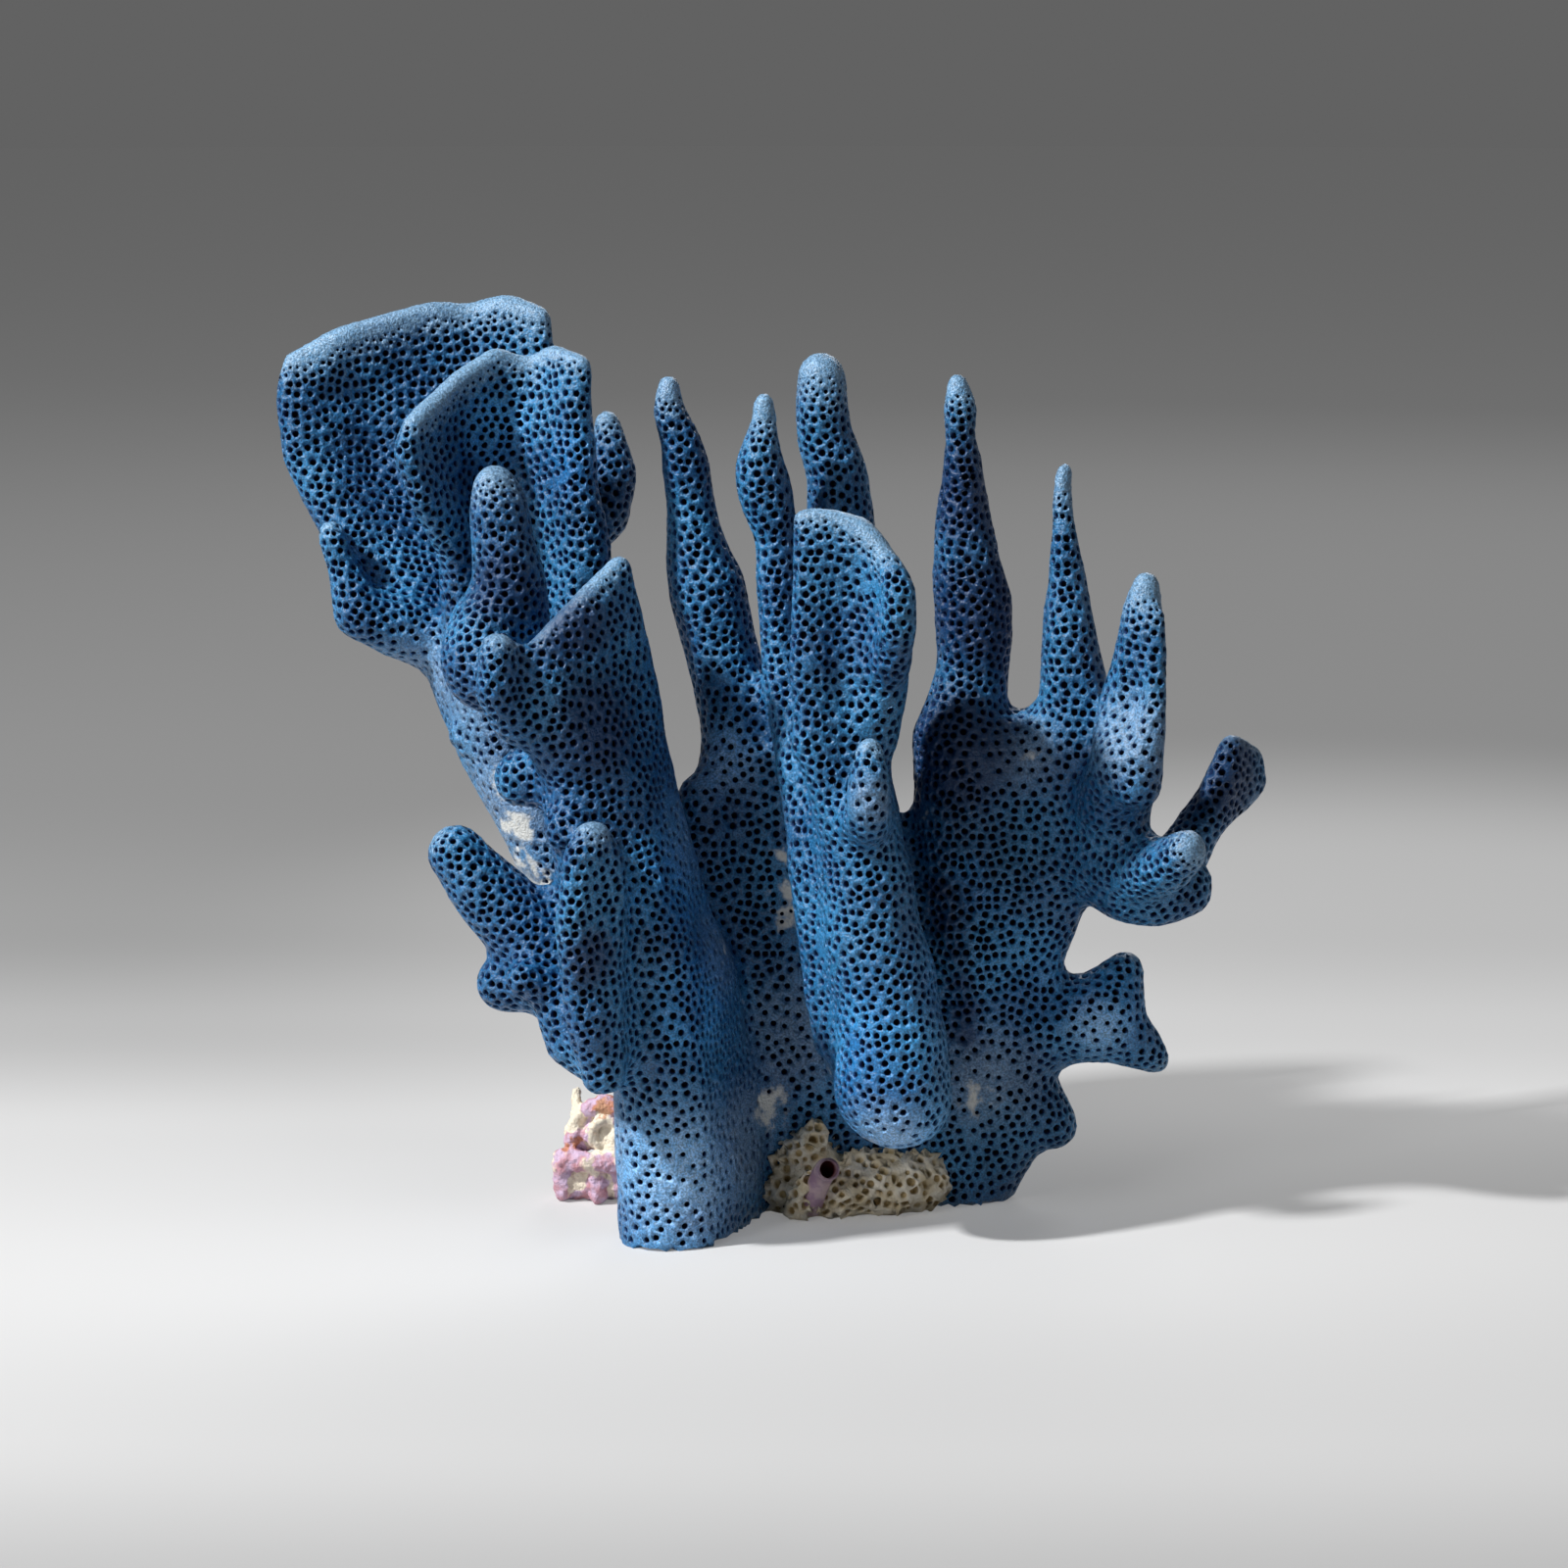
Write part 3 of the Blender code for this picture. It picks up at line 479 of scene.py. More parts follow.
def spread(points, spacing):
    """Indices of points no closer together than their spacing, in a random but fixed order."""
    order = list(range(len(points)))
    random.Random(SEED).shuffle(order)
    size = float(spacing.max())
    keys = np.floor(points / size).astype(int).tolist()
    places = points.tolist()
    gaps = (spacing**2).tolist()
    boxes = {}
    chosen = []
    around = [(i, j, k) for i in (-1, 0, 1) for j in (-1, 0, 1) for k in (-1, 0, 1)]
    for n in order:
        a, b, c = keys[n]
        x, y, z = places[n]
        gap = gaps[n]
        near = (place for i, j, k in around for place in boxes.get((a + i, b + j, c + k), ()))
        if all((px - x) ** 2 + (py - y) ** 2 + (pz - z) ** 2 >= gap for px, py, pz in near):
            boxes.setdefault((a, b, c), []).append((x, y, z))
            chosen.append(n)
    return np.array(chosen)


def tree_of(points):
    """A search tree of the points, each by its index."""
    tree = KDTree(len(points))
    for i, point in enumerate(points.tolist()):
        tree.insert(point, i)
    tree.balance()
    return tree


def nearest(centres, points):
    """For each point the index of the nearest centre."""
    find = tree_of(centres).find
    return np.array([find(point)[1] for point in points.tolist()])


def cell_corners(points, normals, triangles, owner):
    """Where three cells meet: the corners' places, their normals, and each one's cells in turning order."""
    trio = owner[triangles]
    meet = (trio[:, 0] != trio[:, 1]) & (trio[:, 1] != trio[:, 2]) & (trio[:, 0] != trio[:, 2])
    trio = trio[meet]
    place = np.concatenate([points[triangles[meet]].mean(1), normals[triangles[meet]].mean(1)], 1)
    turn = trio.argmin(1)
    trio = np.stack([np.take_along_axis(trio, ((turn + i) % 3)[:, None], 1)[:, 0] for i in range(3)], 1)
    forward = trio[:, 1] < trio[:, 2]
    key = np.sort(trio, 1)
    unique, index, count = np.unique(key, axis=0, return_inverse=True, return_counts=True)
    index = index.reshape(-1)
    sign = np.bincount(index, np.where(forward, 1, -1))
    middle = np.stack([np.bincount(index, place[:, i]) for i in range(6)], 1) / count[:, None]
    kept = sign != 0
    trios = np.where((sign > 0)[:, None], unique, unique[:, [0, 2, 1]])[kept]
    return middle[kept, :3], unit(middle[kept, 3:]), trios


def rings(trios, cells):
    """For each cell the corners around it, in turning order, or None where they make no single ring."""
    follow = [{} for _ in range(cells)]
    for corner, (a, b, c) in enumerate(trios.tolist()):
        for at, before, after in ((a, b, c), (b, c, a), (c, a, b)):
            follow[at].setdefault(before, []).append((after, corner))
    return [one_ring(links) for links in follow]


def one_ring(links):
    """The corners round a cell, from the links between its neighbours, or None where they don't close."""
    if not links or any(len(way) > 1 for way in links.values()):
        return None
    ring = []
    start = at = next(iter(links))
    while at in links and len(ring) < len(links):
        at, corner = links[at][0]
        ring.append(corner)
    return ring if at == start and len(ring) == len(links) else None


# ---- what grows where


def samples():
    """Balls that fill the skeleton closely, and for each the number of its node."""
    balls = []
    nodes = []
    for number, groups in enumerate(COLONY.values()):
        for group in groups:
            for a, b in itertools.combinations(np.array(group, float), 2):
                for t in np.linspace(0, 1, SAMPLES):
                    balls.append(a + (b - a) * t)
                    nodes.append(number)
    return np.array(balls) * MM, np.array(nodes)


def nearest_ball(points, balls):
    """For each point the number of the ball whose skin is nearest, and the way there, below 0 inside it."""
    numbers = []
    ways = []
    for start in range(0, len(points), CHUNK):
        some = points[start : start + CHUNK, None]
        away = np.linalg.norm(some - balls[None, :, :3], axis=2) - balls[:, 3]
        numbers.append(away.argmin(1))
        ways.append(away.min(1))
    return np.concatenate(numbers), np.concatenate(ways)


def node_of(points):
    """The number of the node that each point belongs to: the one whose skeleton is nearest."""
    balls, nodes = samples()
    return nodes[nearest_ball(points, balls)[0]]


def outside_colony(points):
    """How far each point is from the colony's skin, in metres: below 0 inside it."""
    return nearest_ball(points, samples()[0])[1]


def smoothstep(low, high, value):
    t = np.clip((value - low) / (high - low), 0, 1)
    return t * t * (3 - 2 * t)


def tip_distance(points):
    """How far each point is from the nearest growing tip or rim, as a share of its reach."""
    share = np.full(len(points), np.inf)
    for reach, line in GROWING:
        ends = np.array(line if len(line) > 1 else line * 2, float) * MM
        for a, b in zip(ends, ends[1:]):
            along = b - a
            t = np.clip((points - a) @ along / max(float(along @ along), TINY), 0, 1)
            away = np.linalg.norm(points - a - t[:, None] * along, axis=1)
            share = np.minimum(share, away / (reach * MM))
    return share


def hollowness(points, normals, reach):
    """How far the surface round each point rises above it, as a share of the reach: above 0 in a crease."""
    tree = tree_of(points)
    rise = np.zeros(len(points))
    for i, point in enumerate(points.tolist()):
        near = np.array([n for _, n, _ in tree.find_range(point, reach)])
        rise[i] = ((points[near] - points[i]) @ normals[i]).mean()
    return rise / reach


def in_spots(points, spots):
    """1 in the middle of any of the spots, falling to 0 just outside it."""
    level = np.zeros(len(points))
    for x, y, z, radius in spots:
        away = np.linalg.norm(points - np.array((x, y, z)) * MM, axis=1)
        level = np.maximum(level, 1 - smoothstep(*SPOT_EDGE, away / (radius * MM)))
    return level


# ---- meshes of cells


def frame_at(normals):
    """Two directions across each normal, from the upright one or, for a nearly upright normal, from +X."""
    helper = np.where(np.abs(normals[:, 2:]) < UPRIGHT, [[0.0, 0.0, 1.0]], [[1.0, 0.0, 0.0]])
    across = np.cross(helper, normals)
    across /= np.linalg.norm(across, axis=1, keepdims=True)
    return across, np.cross(normals, across)


def unit(vectors):
    return vectors / np.maximum(np.linalg.norm(vectors, axis=-1, keepdims=True), TINY)


def band_faces(ring, angles, first):
    """Triangles between a cell's corners and its pore's rim, whose points start at index first.

    None where the corners don't go round the cell's middle in order.
    """
    turned = [(a - angles[0]) % math.tau for a in angles] + [math.tau]
    if any(b <= a for a, b in zip(turned, turned[1:])):
        return None
    faces = []
    i = j = 0
    count = len(ring)
    while i < count or j < SIDES:
        if j == SIDES or (i < count and turned[i + 1] * SIDES <= (j + 0.5) * math.tau):
            faces.append((ring[i % count], ring[(i + 1) % count], first + j % SIDES))
            i += 1
        else:
            faces.append((ring[i % count], first + (j + 1) % SIDES, first + j % SIDES))
            j += 1
    return faces


def wall_faces(first):
    """Triangles down a pore's wall. The rim's points start at index first, and the bottom's follow them."""
    faces = []
    bottom = first + SIDES
    for k in range(BOTTOM_SIDES):
        a, b, c = first + 2 * k, first + 2 * k + 1, first + (2 * k + 2) % SIDES
        near, far = bottom + k, bottom + (k + 1) % BOTTOM_SIDES
        faces += [(a, b, near), (b, far, near), (b, c, far)]
    return faces


class Cells:
    """A closed surface as cells: the corners they share, and each one's middle, normal and ring."""

    def __init__(self, body, spacing):
        points, normals, triangles = body
        chosen = spread(points, spacing)
        owner = nearest(points[chosen], points)
        self.middle = points[chosen]
        self.normal = normals[chosen]
        self.corner, self.corner_normal, trios = cell_corners(points, normals, triangles, owner)
        self.ring = rings(trios, len(chosen))

    def room(self):
        """How wide a round pit could be in each cell: the way to its nearest corner."""
        wide = np.zeros(len(self.middle))
        for cell, ring in enumerate(self.ring):
            if ring:
                wide[cell] = np.linalg.norm(self.corner[ring] - self.middle[cell], axis=1).min()
        return wide


def pit_mesh(name, cells, own, radius, depth, lift, marks):
    """One mesh of its own cells. Each has a pit of its radius and depth, or none where the radius is 0.

    lift raises each corner along its normal. marks holds the material's values, one for each cell.
    """
    marked = np.stack(list(marks.values()), 1)
    used = sorted({corner for cell in own for corner in cells.ring[cell]})
    local = {corner: i for i, corner in enumerate(used)}
    used = np.array(used)
    places = [cells.corner[used] + cells.corner_normal[used] * lift[used][:, None]]
    shades = [cells.corner_normal[used]]
    total = len(used)
    faces = []
    pits = []
    across, up = frame_at(cells.normal)
    sharing = np.zeros(len(used))
    values = [np.zeros((len(used), len(marks)))]
    for cell in own:
        middle, normal, u, v = cells.middle[cell], cells.normal[cell], across[cell], up[cell]
        ring = [local[corner] for corner in cells.ring[cell]]
        out = places[0][ring] - middle
        x, y = out @ u, out @ v
        values[0][ring] += marked[cell]
        sharing[ring] += 1
        size = radius[cell]
        band = band_faces(ring, np.arctan2(y, x).tolist(), total) if size else None
        if band is None:
            added = 1
            places.append((middle + normal * DIMPLE)[None])
            shades.append(normal[None])
            faces += [(a, b, total) for a, b in zip(ring, ring[1:] + ring[:1])]
            pits += [CLOSED_CELL] * (3 * len(ring))
        else:
            added = SIDES + BOTTOM_SIDES
            bend = float((out @ normal / (x * x + y * y)).mean())
            turns = np.arange(SIDES) * math.tau / SIDES + math.atan2(y[0], x[0])
            rim = np.cos(turns)[:, None] * u + np.sin(turns)[:, None] * v
            low = rim[::2]
            places.append(middle + rim * size + normal * (bend * size * size - RIM_DROP))
            places.append(middle + low * size * PIT_TAPER - normal * depth[cell])
            shades.append(unit(normal - rim * RIM_TILT))
            shades.append(unit(normal * FOOT_LIFT - low))
            spot = {corner: (a, b, 1.0) for corner, a, b in zip(ring, x / size, y / size)}
            for i, turn in enumerate(turns):
                a, b = math.cos(turn), math.sin(turn)
                spot[total + i] = (a, b, 1.0)
                if i % 2 == 0:
                    spot[total + SIDES + i // 2] = (a * WALL_SHADE, b * WALL_SHADE, 1.0)
            sloping = band + wall_faces(total)
            faces += sloping
            pits += [spot[corner] for face in sloping for corner in face]
            bottom = total + SIDES
            faces += [(bottom, bottom + k, bottom + k + 1) for k in range(1, BOTTOM_SIDES - 1)]
            pits += [PIT_MIDDLE] * (3 * (BOTTOM_SIDES - 2))
        values.append(np.repeat(marked[cell : cell + 1], added, 0))
        total += added
    values[0] /= np.maximum(sharing, 1)[:, None]
    values = dict(zip(marks, np.concatenate(values).T))
    return mesh_object(name, np.concatenate(places), faces, np.concatenate(shades), values, pits)


def mesh_object(name, places, faces, shades, values, pits=None):
    """An object of triangles about the part's origin, with normals, values and the places in its pits."""
    pits = pits or [CLOSED_CELL] * (3 * len(faces))
    mesh = bpy.data.meshes.new(name)
    mesh.vertices.add(len(places))
    mesh.vertices.foreach_set("co", (places - np.array(CENTRE)).astype(np.float32).ravel())
    mesh.loops.add(3 * len(faces))
    mesh.loops.foreach_set("vertex_index", np.array(faces, np.int32).ravel())
    mesh.polygons.add(len(faces))
    mesh.polygons.foreach_set("loop_start", np.arange(0, 3 * len(faces), 3, dtype=np.int32))
    mesh.update(calc_edges=True)
    mesh.polygons.foreach_set("use_smooth", np.ones(len(faces), bool))
    pit = mesh.attributes.new("pit", "FLOAT_VECTOR", "CORNER")
    pit.data.foreach_set("vector", np.array(pits, np.float32).ravel())
    for key, value in values.items():
        layer = mesh.attributes.new(key, "FLOAT", "POINT")
        layer.data.foreach_set("value", value.astype(np.float32))
    mesh.normals_split_custom_set_from_vertices(shades.astype(np.float32))
    return placed(name, mesh)


# ---- materials


def srgb(red, green, blue):
    """A colour given as it looks, from 0 to 255, in the linear values that a shader takes."""
    values = [c / 255 for c in (red, green, blue)]
    return (*[c / 12.92 if c <= 0.04045 else ((c + 0.055) / 1.055) ** 2.4 for c in values], 1)


class Graph:
    """A tree of shader nodes in the making."""

    def __init__(self, tree):
        self.tree = tree

    def add(self, kind, *values, **settings):
        """A new node with these settings and with its first inputs fed with the values."""
        node = self.tree.nodes.new(kind)
        for key, value in settings.items():
            setattr(node, key, value)
        for socket, value in zip(node.inputs, values):
            self.feed(socket, value)
        return node

    def feed(self, socket, value):
        """Links the socket to another one, or sets it to a value."""
        if isinstance(value, bpy.types.NodeSocket):
            self.tree.links.new(value, socket)
        else:
            socket.default_value = value

    def math(self, operation, first, second):
        return self.add("ShaderNodeMath", first, second, operation=operation).outputs[0]

    def vector(self, operation, *values):
        node = self.add("ShaderNodeVectorMath", *values, operation=operation)
        return node.outputs["Value" if operation in ("LENGTH", "DISTANCE") else "Vector"]

    def seen(self):
        """1 for what the camera sees, straight or in a reflection, and 0 for other light."""
        path = self.add("ShaderNodeLightPath")
        return self.math("MAXIMUM", path.outputs["Is Camera Ray"], path.outputs["Is Glossy Ray"])


class Paint(Graph):
    """A material in the making. Its noise lies in the object's own space, in metres."""

    def __init__(self, name, roughness):
        self.material = bpy.data.materials.new(name)
        self.material.use_nodes = True
        super().__init__(self.material.node_tree)
        self.shader = self.tree.nodes["Principled BSDF"]
        self.set("Roughness", roughness)
        self.place = self.add("ShaderNodeTexCoord").outputs["Object"]

    def set(self, name, value):
        self.feed(self.shader.inputs[name], value)

    def mark(self, name, output="Fac"):
        return self.add("ShaderNodeAttribute", attribute_name=name).outputs[output]

    def noise(self, size, detail):
        """Noise with lumps of this size in millimetres."""
        node = self.add("ShaderNodeTexNoise", self.place)
        node.inputs["Scale"].default_value = 1 / (size * MM)
        node.inputs["Detail"].default_value = detail
        return node.outputs["Fac"]

    def step(self, value, low=0.0, high=1.0, at_low=0.0, at_high=1.0):
        """A value that goes smoothly from at_low to at_high while the given one goes from low to high."""
        values = (value, low, high, at_low, at_high)
        return self.add("ShaderNodeMapRange", *values, interpolation_type="SMOOTHSTEP").outputs["Result"]

    def mix(self, share, first, second, blend="MIX"):
        """The first colour, with the second one mixed in by the share."""
        node = self.add("ShaderNodeMix", data_type="RGBA", blend_type=blend)
        for index, value in ((0, share), (6, first), (7, second)):
            self.feed(node.inputs[index], value)
        return node.outputs[2]

    def in_pit(self, low, high):
        """1 inside a pit and 0 outside it, falling from low to high, which are in pit radii."""
        place = self.mark("pit", "Vector")
        opened = self.add("ShaderNodeSeparateXYZ", place).outputs["Z"]
        away = self.vector("LENGTH", self.vector("MULTIPLY", place, (1, 1, 0)))
        return self.math("MULTIPLY", opened, self.step(away, low, high, 1.0, 0.0))

    def finish(self, colour, height, reach, strength):
        """The material in this colour, with bumps of this height."""
        bump = self.add("ShaderNodeBump")
        for name, value in (("Strength", strength), ("Distance", reach * MM), ("Height", height)):
            self.feed(bump.inputs[name], value)
        self.set("Normal", bump.outputs["Normal"])
        self.set("Base Color", colour)
        return self.material


def coral_paint():
    paint = Paint("blue_coral_skin", SKIN_ROUGHNESS)
    broad, patchy, grain, dust = [paint.noise(*way) for way in ((16, 3), (2.4, 3), (0.34, 2), (0.7, 4))]
    blue = paint.mix(paint.step(broad, 0.35, 0.65), srgb(22, 84, 134), srgb(50, 122, 172))
    blue = paint.mix(paint.step(patchy, 0.55, 0.75, 0.0, 0.3), blue, srgb(96, 136, 180))
    blue = paint.mix(paint.step(patchy, 0.45, 0.28, 0.0, 0.4), blue, srgb(12, 72, 108))
    worn = paint.math("MULTIPLY", paint.mark("pale"), paint.step(dust, 0.3, 0.7, 0.35, 0.75))
    blue = paint.mix(worn, blue, srgb(128, 156, 186))
    tip = paint.math("ADD", paint.mark("tip"), paint.step(dust, 0.35, 0.65, -0.28, 0.2))
    blue = paint.mix(paint.step(tip, at_high=0.8), blue, srgb(132, 168, 198))
    blue = paint.mix(1.0, blue, paint.step(grain, 0.3, 0.7, 0.6, 1.42), "MULTIPLY")
    # Painted shade: where shade falls on the colony, the blue is painted darker.
    blue = paint.mix(paint.step(paint.mark("deep"), at_high=0.86), blue, srgb(6, 45, 90))
    # Painted light: where more light falls on the colony, the blue is painted brighter.
    blue = paint.mix(1.0, blue, paint.step(paint.mark("painted_light"), at_low=1.0, at_high=1.65), "MULTIPLY")
    white = paint.math("ADD", paint.mark("white"), paint.step(patchy, 0.3, 0.7, -0.4, 0.4))
    blue = paint.mix(paint.step(white, 0.42, 1.05, 0.0, 0.92), blue, srgb(222, 222, 216))
    # Painted shade: the pits are painted dark navy down their walls and near black at the bottom, as the
    # shade inside a pore.
    pit = paint.in_pit(0.74, 0.98)
    blue = paint.mix(pit, blue, paint.mix(paint.in_pit(0.5, 0.76), srgb(8, 46, 98), srgb(2, 13, 42)))
    paint.set("Roughness", paint.step(pit, at_low=SKIN_ROUGHNESS, at_high=PIT_ROUGHNESS))
    bumps = paint.math("ADD", grain, paint.math("MULTIPLY", dust, 1.4))
    return paint.finish(blue, bumps, reach=0.22, strength=0.85)


def cream_paint():
    paint = Paint("cream_crust_skin", 0.75)
    patchy, grain = paint.noise(3, 3), paint.noise(0.4, 3)
    wall = paint.mix(paint.step(patchy, 0.35, 0.65), srgb(248, 240, 222), srgb(226, 210, 176))
    floor = paint.mix(paint.mark("shade"), srgb(172, 146, 98), srgb(214, 194, 150))
    colour = paint.mix(paint.in_pit(0.45, 1.0), wall, floor)
    return paint.finish(colour, grain, reach=0.25, strength=0.8)


def pink_paint():
    paint = Paint("pink_crust_skin", 0.55)
    patchy, grain, broad = paint.noise(1.6, 4), paint.noise(0.45, 3), paint.noise(3.2, 3)
    pink = paint.mix(paint.step(patchy, 0.35, 0.65), srgb(206, 180, 206), srgb(192, 138, 148))
    cream = paint.math("ADD", paint.mark("cream"), paint.step(broad, 0.3, 0.7, -0.45, 0.55))
    pink = paint.mix(paint.step(cream, 0.3, 0.6), pink, srgb(236, 224, 202))
    orange = paint.math("ADD", paint.mark("orange"), paint.step(patchy, 0.35, 0.75, -0.5, 0.45))
    pink = paint.mix(paint.step(orange, 0.25, 0.7, 0.0, 0.8), pink, srgb(196, 126, 78))
    return paint.finish(pink, paint.math("ADD", grain, patchy), reach=0.4, strength=0.8)


def tube_paint():
    paint = Paint("worm_tube_skin", 0.45)
    patchy, grain = paint.noise(2.4, 3), paint.noise(0.5, 3)
    wall = paint.mix(paint.step(patchy, 0.4, 0.65), srgb(176, 142, 168), srgb(216, 190, 196))
    colour = paint.mix(paint.mark("bore"), wall, srgb(104, 44, 50))
    return paint.finish(colour, grain, reach=0.1, strength=0.4)


# ---- the colony's skin


# Spots on the skin, as balls.
PALE = [  # where it is worn pale
    (-58, 4, 89, 9), (-49, -4, 88, 13), (-43, -3, 70, 14), (-10, -14, 67, 12), (-12, -12, 46, 9),
    (4, -4, 31, 12), (-6, -12, 14, 12), (34, -3, 22, 12), (39, -2, 77, 8), (56, -15, 82, 9),
    (17.5, -27, 19, 8), (-15, -24, 12, 15), (-25, -20, 17, 8), (14.2, -34, 75, 5), (52.5, -1, 31, 6),
    (-10.4, -3, 75.6, 8),
]
PAINTED_SHADE = [  # painted shade: the blue is painted darker where shade falls on the colony
    (-31, -28, 101, 10), (-27, -27, 86, 12), (-29, -36, 50, 7), (-44, -19, 106, 9), (32.6, 1, 100, 14),
    (30, 1, 120, 14), (28, -2, 78, 16), (75, 5, 72, 10), (26.5, 0, 54, 3.5), (27.5, 0, 48.5, 3.5),
    (29.5, 0, 43.5, 3.5), (30, 0, 38.5, 3.5), (31, 0, 34, 3.5), (31, 0, 29.5, 3.5),
]
PAINTED_LIGHT = [  # painted light: the blue is painted brighter where more light falls on the colony
    (-15, -25, 10, 16), (-16, -25, 60, 12), (-11.7, -24, 40, 12), (16.3, -29, 34, 14), (19, -27, 19, 11),
    (23.5, -20, 43, 8), (38, -2, 38, 15), (54, -1, 34, 10), (-47, 4, 129, 8), (-32, -3, 125, 8),
    (-9, -3, 77, 8), (31, -1, 57, 4), (34, -1, 52, 5), (38, -1, 46.5, 5.5), (42.5, -1, 36, 4),
]
WHITE = [  # where it is bare
    (-45, -5, 73, 4), (-43, -5, 65, 5), (-40, -5, 57, 6), (0.5, -6, 76.5, 3), (1.6, -4, 60, 4),
    (2, -4, 54, 4.5), (2, -4, 50, 4.5), (-9, -10, 47.5, 3), (-5, -6, 38, 2.5), (-1.6, -4, 18, 5),
    (6.9, -6, 22, 4), (14, -24, 15, 4), (22.4, 0, 66, 2.5), (-14.3, -4, 73.5, 2), (41, 0, 76, 3),
    (33, -2, 18.6, 4.5),
]


def dress(obj, made, node):
    obj.data.materials.append(made)
    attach(obj, "root")
    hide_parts(node)


def skin_cells(body):
    points = body[0]
    spacing = PORE_GAP + (TIP_GAP - PORE_GAP) * (1 - smoothstep(*TIP_GAP_EDGE, tip_distance(points)))
    spacing += PALE_GAP * in_spots(points, PALE)
    spacing[points[:, 2] <= 0] = UNDER_GAP
    return Cells(body, spacing)


def grow_skin():
    cells = skin_cells(colony_body())
    count = len(cells.middle)
    tip = tip_distance(cells.middle)
    grainy = 1 - smoothstep(*GRAINY_EDGE, tip)
    crease = smoothstep(*CREASE_EDGE, hollowness(cells.middle, cells.normal, HOLLOW_REACH))
    pale, white, deep, painted_light = [in_spots(cells.middle, spots) for spots in (PALE, WHITE, PAINTED_SHADE, PAINTED_LIGHT)]
    radius = PORE_RADIUS
    for level, share in zip((grainy, crease, pale, white), NARROWED):
        radius = radius * (1 - share * level)
    rng = np.random.default_rng(SEED)
    radius = np.minimum(radius * rng.uniform(*RADIUS_RANGE, count), cells.room() * WIDEST)
    gone = rng.random(count) < GONE + GONE_IF_PALE * pale + GONE_IF_WHITE * white
    low = cells.middle[:, 2] < radius * 2
    radius[(grainy > TIP_CLOSED) | (crease > CREASE_CLOSED) | low | gone] = 0
    depth = np.minimum(PORE_DEPTH, radius * DEEPEST)
    lift = rng.normal(0, UNEVENNESS, len(cells.corner)) * (cells.corner[:, 2] > 0)
    tip = 1 - smoothstep(0, PALE_TIP, tip)
    marks = {"tip": tip, "pale": pale, "white": white, "deep": deep, "painted_light": painted_light}
    skin = coral_paint()
    owner = node_of(cells.middle)
    for number, node in enumerate(COLONY):
        own = [cell for cell in np.flatnonzero(owner == number).tolist() if cells.ring[cell]]
        obj = pit_mesh(node + "_skin", cells, own, radius, depth, lift, marks)
        dress(obj, skin, node)


# ---- crusts and worm tube


CREAM_CRUST = (
    limb((1, 0, 3, 5), (7, -2, 3.5, 5.2), (14, -1.5, 4.5, 5.8), (20, -1, 4.5, 5.6), (23.5, 0, 4.5, 4.6))
    + limb((2, 0, 8, 4.5), (5.5, -3.5, 12, 2.8), (5.8, -3, 15, 1.6))
    + limb((6, 0, 6, 6), (4, 2, 11, 4))
    + limb((3.2, -6.5, 1.5, 2.2), (4.3, -7.5, 5.5, 1.8), (5.2, -8.6, 8.6, 0.9))
)
PINK_CRUST = (
    limb((-33.5, 7, 3, 3.6), (-28, 6.5, 4, 4.2), (-20, 4.5, 4.5, 5), (-14, 1, 4, 6))
    + limb((-33, 7, 11, 3), (-29, 6.2, 12, 3.3), (-24, 4, 10, 4.5), (-16, 1, 8, 6))
    + limb((-36, 4.4, 7.2, 1.9), (-31, 2, 7.3, 1.6), (-25, 1.2, 7.3, 1.7))
    + limb((-36.2, 4.4, 7, 1.7), (-35.8, 4.8, 1.8, 1.8))
    + limb((-30.6, 2.4, 6.5, 1.2), (-30, 2.8, 1.4, 1.5))
    + limb((-26, 2.2, 4, 1.3), (-25, 2.2, 1, 1.4))
    + limb((-31.6, 4, 16, 1.5), (-29, 3.2, 17, 1.7), (-26, 3.2, 16, 2))
    + limb((-34.6, 5, 10, 1.4), (-33.6, 5, 14, 1.2), (-33.8, 6, 18.4, 0.8))
)
CREAM_SPOTS = [  # on the pink crust
    (-29, 3, 12, 4.2), (-33.2, 4, 3.6, 2.6), (-28, 4, 3.4, 3), (-34, 5, 14, 3.4), (-34, 6, 18, 3),
]
ORANGE_SPOTS = [
    (-29, 2, 17, 3.2), (-36, 4.4, 9.2, 1.8), (-25.6, 1, 8.8, 1.8), (-26, 1, 1.2, 1.6), (-34, 4, 10.5, 1.6),
]
RING = (-29, 2.6, 12)  # middle of the hollow ring on the pink crust
RING_RADIUS = 2.4
RING_BALLS = 10
RING_BALL_RADIUS = 0.85
RING_LEAN = 0.5  # how far the ring's top leans to the front, and its foot to the back
WORM_TUBE = [(5.2, -5.5, 1.5), (5.8, -7.2, 4.2), (6.8, -8.8, 7.4), (7.6, -10.5, 9.4), (8.1, -12.6, 10)]
TUBE_RADIUS = 1.85
BORE_RADIUS = 1.45
LIP = 0.15  # how far the worm tube's bevelled lip reaches along it
LIP_RADII = (TUBE_RADIUS - 0.12, BORE_RADIUS + 0.1)  # outer and inner edge of the lip's flat end
TUBE_SIDES = 28
SIDEWAYS = Vector((1, 0, 0))  # where the first of a ring's points lies


def ring_of_balls():
    x, y, z = RING
    ring = []
    for i in range(RING_BALLS):
        turn = math.tau * i / RING_BALLS
        across, rise = math.cos(turn), math.sin(turn)
        place = (x + RING_RADIUS * across, y - RING_LEAN * rise, z + RING_RADIUS * rise)
        ring.append((*place, RING_BALL_RADIUS))
    return limb(*ring, ring[0])


def crust_body(name, groups, voxel, lump_size, lump_height):
    obj = hulls(name, groups)
    fuse(obj, voxel * MM)
    smooth(obj, CRUST_ROUNDING)
    displace(obj, lump_height * MM, clouds(name + "_lumps", lump_size * MM))
    return seated(*taken(obj))


